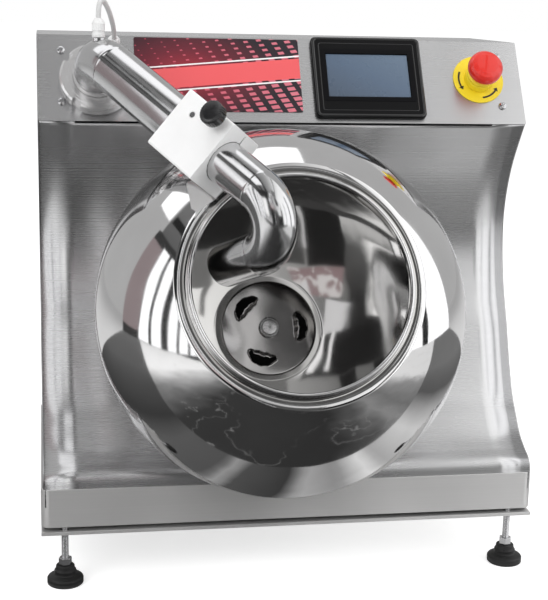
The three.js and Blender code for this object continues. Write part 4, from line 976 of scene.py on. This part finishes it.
# Levelling feet
def threaded(name, place, radius, z0, z1, pitch, body, sides=20, per_turn=6):
    """A stud with its thread cut in."""
    verts = []
    count = int((z1 - z0) / pitch * per_turn)
    for i in range(count + 1):
        z = z0 + (z1 - z0) * i / count
        for k in range(sides):
            t = ((z / pitch) - k / sides) % 1.0
            r = radius - 0.55 * (0.5 + 0.5 * math.cos(2 * math.pi * t))
            verts.append((*polar(r, 2 * math.pi * k / sides), z))
    rows = numbered(count + 1, sides)
    return piece(name, verts, joined(rows) + [rows[0][::-1], rows[-1]], place, "bright", body, (), 60)


PAD = [
    (0, 0.05), (18.8, 0.05), (20, 1.2), (20, 7.0), (18.9, 8.6), (12.2, 10.6), (11.5, 11.6), (11.3, 13.8),
    (12.2, 14.6), (12.0, 16.0), (10.6, 17.6), (10.2, 21.0), (9.4, 22), (0, 22),
]
for row, y in (("front", FOOT_FRONT), ("rear", FOOT_REAR)):
    for hand, x in (("left", -FOOT_X), ("right", FOOT_X)):
        name = row + "_" + hand
        body = "foot_" + name
        place = WORLD @ move(x, y)
        lathe("foot_%s_pad_fine" % name, PAD, place, "rubber", body, ("foot_%s_pad" % name,), 72, 0.8)
        stud = threaded("foot_%s_stud_fine" % name, place, 4.0, 22.2, 71.2, 1.6, body)
        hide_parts("foot_%s_stud" % name)
        slab("foot_%s_nut" % name, hexagon(7.5, 12), 22.4, 30.2, place, "bright", body, 0.5)


# Floor, and what the polished faces mirror; sizes in metres from here on
def stage_mesh(name, verts, mat, glossy_only=True):
    mesh = bpy.data.meshes.new(name)
    mesh.from_pydata(verts, [], [[0, 1, 2, 3]])
    mesh.materials.append(mat)
    obj = bpy.data.objects.new(name, mesh)
    bpy.context.scene.collection.objects.link(obj)
    if glossy_only:
        obj.visible_camera = False
        obj.visible_diffuse = False
        obj.visible_shadow = False
        obj.visible_transmission = False
        obj.visible_volume_scatter = False


def floor_material():
    """White floor: its own light lifts it to the backdrop's white, and shadows still darken it."""
    m = Nodes("floor_white")
    m.set(Roughness=0.9, Specular_IOR_Level=0.0, Base_Color=(0.9, 0.9, 0.9, 1), Emission_Color=(1, 1, 1, 1))
    seen = m.add("ShaderNodeLightPath").outputs["Is Camera Ray"]
    m.link(m.times(seen, 0.62), m.bsdf.inputs["Emission Strength"])
    return m.mat


WIDE = 30
stage_mesh("floor", [(-WIDE, -WIDE, 0), (WIDE, -WIDE, 0), (WIDE, WIDE, 0), (-WIDE, WIDE, 0)],
           floor_material(), False)


def emit(m, colour):
    """Makes a material glow with a colour, or with what a node puts out."""
    emission = m.add("ShaderNodeEmission")
    m.fill(emission.inputs["Color"], colour)
    emission.inputs["Strength"].default_value = 1.0
    m.link(emission.outputs[0], m.tree.nodes["Material Output"].inputs["Surface"])
    return m.mat


def flat(name, colour):
    return emit(Nodes(name), colour)


def glow(name, stops, axis="X", veins=0.0, warp=0.0):
    """An emission whose strength follows stops along one axis, with wavering borders and thin veins."""
    m = Nodes(name)
    split = m.add("ShaderNodeSeparateXYZ")
    m.link(m.coord.outputs["Object"], split.inputs[0])
    place = split.outputs[axis]
    if warp:
        shift = m.times(m.math("SUBTRACT", m.noise(2.6, 3.0), 0.5), warp * 2)
        place = m.math("ADD", place, shift)
    low, high = stops[0][0], stops[-1][0]
    shares = [((at - low) / (high - low), value) for at, value in stops]
    tone = m.ramp(m.span(place, 0.0, 1.0, low, high), shares)
    if veins:
        line = m.gap(m.noise(2.4, 4.0), 0.5)
        patch = m.span(m.noise(3.1, 3.0), 0.0, 1.0, 0.4, 0.6)
        tone = m.mix(m.times(m.less(line, 0.0026), patch), tone, (veins, veins, veins))
    return emit(m, tone)


def patchy(name, tint, light, scale, share):
    """A tinted emission broken by lighter patches."""
    m = Nodes(name)
    return emit(m, m.mix(m.span(m.noise(scale, 4.0), 0.0, 1.0, share, share + 0.03), tint, light))


# Cards that only reflections see: with a free outline facing the front, then facing, sideways and level
def leaf(name, y, outline, mat):
    stage_mesh(name, [(x, y, z) for x, z in outline], mat)


def wall(name, x0, x1, z0, z1, y, mat):
    leaf(name, y, [(x0, z0), (x1, z0), (x1, z1), (x0, z1)], mat)


def side(name, y0, y1, z0, z1, x, mat):
    stage_mesh(name, [(x, y0, z0), (x, y1, z0), (x, y1, z1), (x, y0, z1)], mat)


def level(name, x0, x1, y0, y1, z, mat):
    stage_mesh(name, [(x0, y0, z), (x1, y0, z), (x1, y1, z), (x0, y1, z)], mat)


# Brightness at places along each card
SWEEP = [(-3.4, 0.12), (-0.55, 0.25), (0.27, 0.52), (0.95, 1.0), (1.77, 1.35), (3.4, 1.45)]
FLOOR = [
    (-3.4, 0.9), (-1.15, 1.15), (-0.9, 0.75), (-0.66, 0.22), (-0.4, 0.05), (0.12, 0.035), (0.24, 0.1),
    (0.38, 0.3), (0.56, 0.2), (0.76, 0.32), (0.96, 0.9), (3.4, 0.9),
]
NEAR = [
    (-3.4, 0.2), (-1.0, 0.14), (-0.42, 0.05), (-0.3, 0.12), (-0.16, 0.1), (-0.13, 0.4), (-0.1, 0.09),
    (-0.01, 0.05), (0.03, 0.45), (0.1, 0.3), (0.16, 0.85), (0.2, 0.45), (0.34, 0.75), (0.44, 0.5),
    (0.62, 0.12), (1.0, 0.2),
]
WALL = [(0.0, 0.8), (0.3, 0.7), (0.55, 0.3), (0.8, 0.15), (1.5, 0.1), (2.0, 0.05), (2.8, 0.03)]
SOFT = [(-3.4, 0.8), (-2.3, 1.5), (-1.8, 1.5), (-1.55, 0.5), (-1.4, 0.12)]
PLATE = [(0.2, 1.0), (0.31, 0.8), (0.36, 0.24), (0.46, 0.13), (0.86, 0.06)]
pale = flat("pale", (1.0, 1.0, 1.02))
bright = flat("window", (1.5, 1.5, 1.52))
dark = flat("frame", (0.025, 0.025, 0.025))
grey = flat("dim", (0.24, 0.24, 0.24))
rose = patchy("rose", (0.4, 0.29, 0.3), (0.95, 0.92, 0.92), 3.4, 0.5)

# The room: walls, ceiling and floor, dim on the left and bright on the right
HALF, FRONT, BACK, HIGH = 3.4, -3.2, 0.6, 2.8
wall("room_front", -HALF, HALF, 0.0, HIGH, FRONT, glow("front_glow", SWEEP))
level("room_ceiling", -HALF, HALF, FRONT, 0.4, HIGH, glow("ceiling_glow", SWEEP))
side("room_left", FRONT, BACK, 0.0, HIGH, -3.0, flat("left_dim", (0.05, 0.05, 0.05)))
side("room_right", FRONT, BACK, 0.0, HIGH, 3.0, bright)
level("room_floor", -HALF, HALF, FRONT, -0.27, 0.004, glow("floor_glow", FLOOR, "X", 0.32, 0.25))
level("room_floor_near", -HALF, HALF, -0.27, BACK, 0.004, glow("near_glow", NEAR, "X", 0.0, 0.05))
level("skylight", -1.9, -0.75, -1.3, -0.2, 2.77, bright)
level("skylight_rear", -2.4, 0.6, 0.45, 1.6, 2.75, bright)

# Windows, doorways, posts and beams
for k, y in enumerate((-3.0, -2.45, -1.9, -1.2, -0.65)):
    side("window_left_%d" % k, y, y + 0.42, 0.02, 2.5, -2.98, bright)
side("doorway_left", -1.5, -1.25, 0.0, 2.7, -2.97, dark)
side("wall_rose", -0.2, BACK, 0.2, 2.4, -2.96, flat("rose_plain", (0.32, 0.265, 0.27)))
wall("front_left", -HALF, -0.95, 0.0, HIGH, -3.16, glow("front_left_glow", WALL, "Z", 0.0, 0.3))
wall("front_soft", -HALF, -1.4, 0.5, 2.5, -3.155, glow("front_soft_glow", SOFT, "X", 0.0, 0.3))
wall("figure_front", -0.95, -0.12, 0.0, 1.4, -3.15, dark)
wall("figure_edge", -0.13, -0.08, 0.0, 1.0, -3.14, pale)
leaf("figure_rose", -3.14, [(-0.93, 1.4), (0.15, 1.45), (0.1, 1.9), (-0.8, 2.02)], rose)
leaf("front_wedge", -3.14, [(-0.98, 2.2), (-0.5, 2.02), (-0.42, HIGH), (-0.8, HIGH)], pale)
leaf("front_band_1", -3.13, [(-0.1, 1.72), (0.0, 1.78), (-0.34, HIGH), (-0.5, HIGH)], pale)
leaf("front_band_2", -3.12, [(0.0, 1.8), (0.14, 1.8), (-0.14, HIGH), (-0.32, HIGH)], dark)
leaf("front_band_3", -3.11, [(0.12, 1.9), (0.2, 1.9), (-0.02, HIGH), (-0.12, HIGH)], pale)
wall("front_plate", 0.2, 0.86, 1.5, 2.35, -2.2, glow("plate_glow", PLATE, "X", 0.0, 0.06))
wall("doorway_right", 0.74, 2.15, 0.0, 0.95, -3.12, dark)
wall("front_shade", -0.07, 0.74, 0.0, 1.35, -3.12, flat("shade", (0.1, 0.1, 0.1)))
wall("post_front", 1.58, 2.15, 0.95, 1.75, -3.12, grey)
level("floor_far", -HALF, HALF, FRONT, -1.9, 0.006, flat("far_dim", (0.07, 0.07, 0.07)))
level("ceiling_dim", 0.3, 1.05, -2.5, -1.6, 2.77, grey)
leaf("right_bar_1", -3.14, [(1.12, 2.05), (1.24, 2.0), (1.62, HIGH), (1.5, HIGH)], dark)
leaf("right_bar_2", -3.14, [(1.62, 1.75), (1.8, 1.75), (2.15, 2.5), (2.05, 2.6)], grey)
level("ceiling_dark", -HALF, 0.12, FRONT, -2.0, 2.77, dark)
for k, (x, wide) in enumerate(((-0.5, 0.14), (-0.26, 0.07), (-0.72, 0.06))):
    slanted = ((x, FRONT), (x + wide, FRONT), (x + wide + 0.4, -2.1), (x + 0.38, -2.1))
    stage_mesh("ceiling_bar_%d" % k, [(*q, 2.76) for q in slanted], bright)
for k, x in enumerate((-2.4, -1.6, -0.8)):
    level("beam_%d" % k, x, x + 0.3, -2.0, 0.3, 2.78, dark)
level("beam_right", 0.95, 1.05, -1.9, 0.3, 2.78, dark)
side("post_right", -0.9, -0.6, 0.0, 2.7, 2.98, dark)
side("post_right_far", -2.5, -2.3, 0.0, 2.7, 2.98, dark)


# Lamps and the white surroundings
def lamp(name, size, power, location):
    data = bpy.data.lights.new(name, "AREA")
    data.shape = "RECTANGLE"
    data.size, data.size_y = size
    data.energy = power
    obj = bpy.data.objects.new(name, data)
    bpy.context.scene.collection.objects.link(obj)
    obj.location = location
    obj.rotation_euler = (Vector((0, 0, 0.3)) - Vector(location)).to_track_quat("-Z", "Y").to_euler()
    obj.visible_glossy = False


lamp("lamp_left", (1.6, 1.8), 34, (-2.1, -1.9, 2.0))
lamp("lamp_right", (1.6, 1.8), 26, (2.3, -1.7, 1.8))
lamp("lamp_top", (2.2, 2.2), 30, (0, 0.1, 3.0))

world = bpy.data.worlds.new("studio")
bpy.context.scene.world = world
world.use_nodes = True
tree = world.node_tree
rays = tree.nodes.new("ShaderNodeLightPath")
strength = tree.nodes.new("ShaderNodeMapRange")
strength.inputs["To Min"].default_value = 0.5
strength.inputs["To Max"].default_value = 1.0
tree.links.new(rays.outputs["Is Camera Ray"], strength.inputs["Value"])
background = tree.nodes["Background"]
background.inputs["Color"].default_value = (1, 1, 1, 1)
tree.links.new(strength.outputs["Result"], background.inputs["Strength"])

view = bpy.context.scene.view_settings
view.view_transform = "Standard"
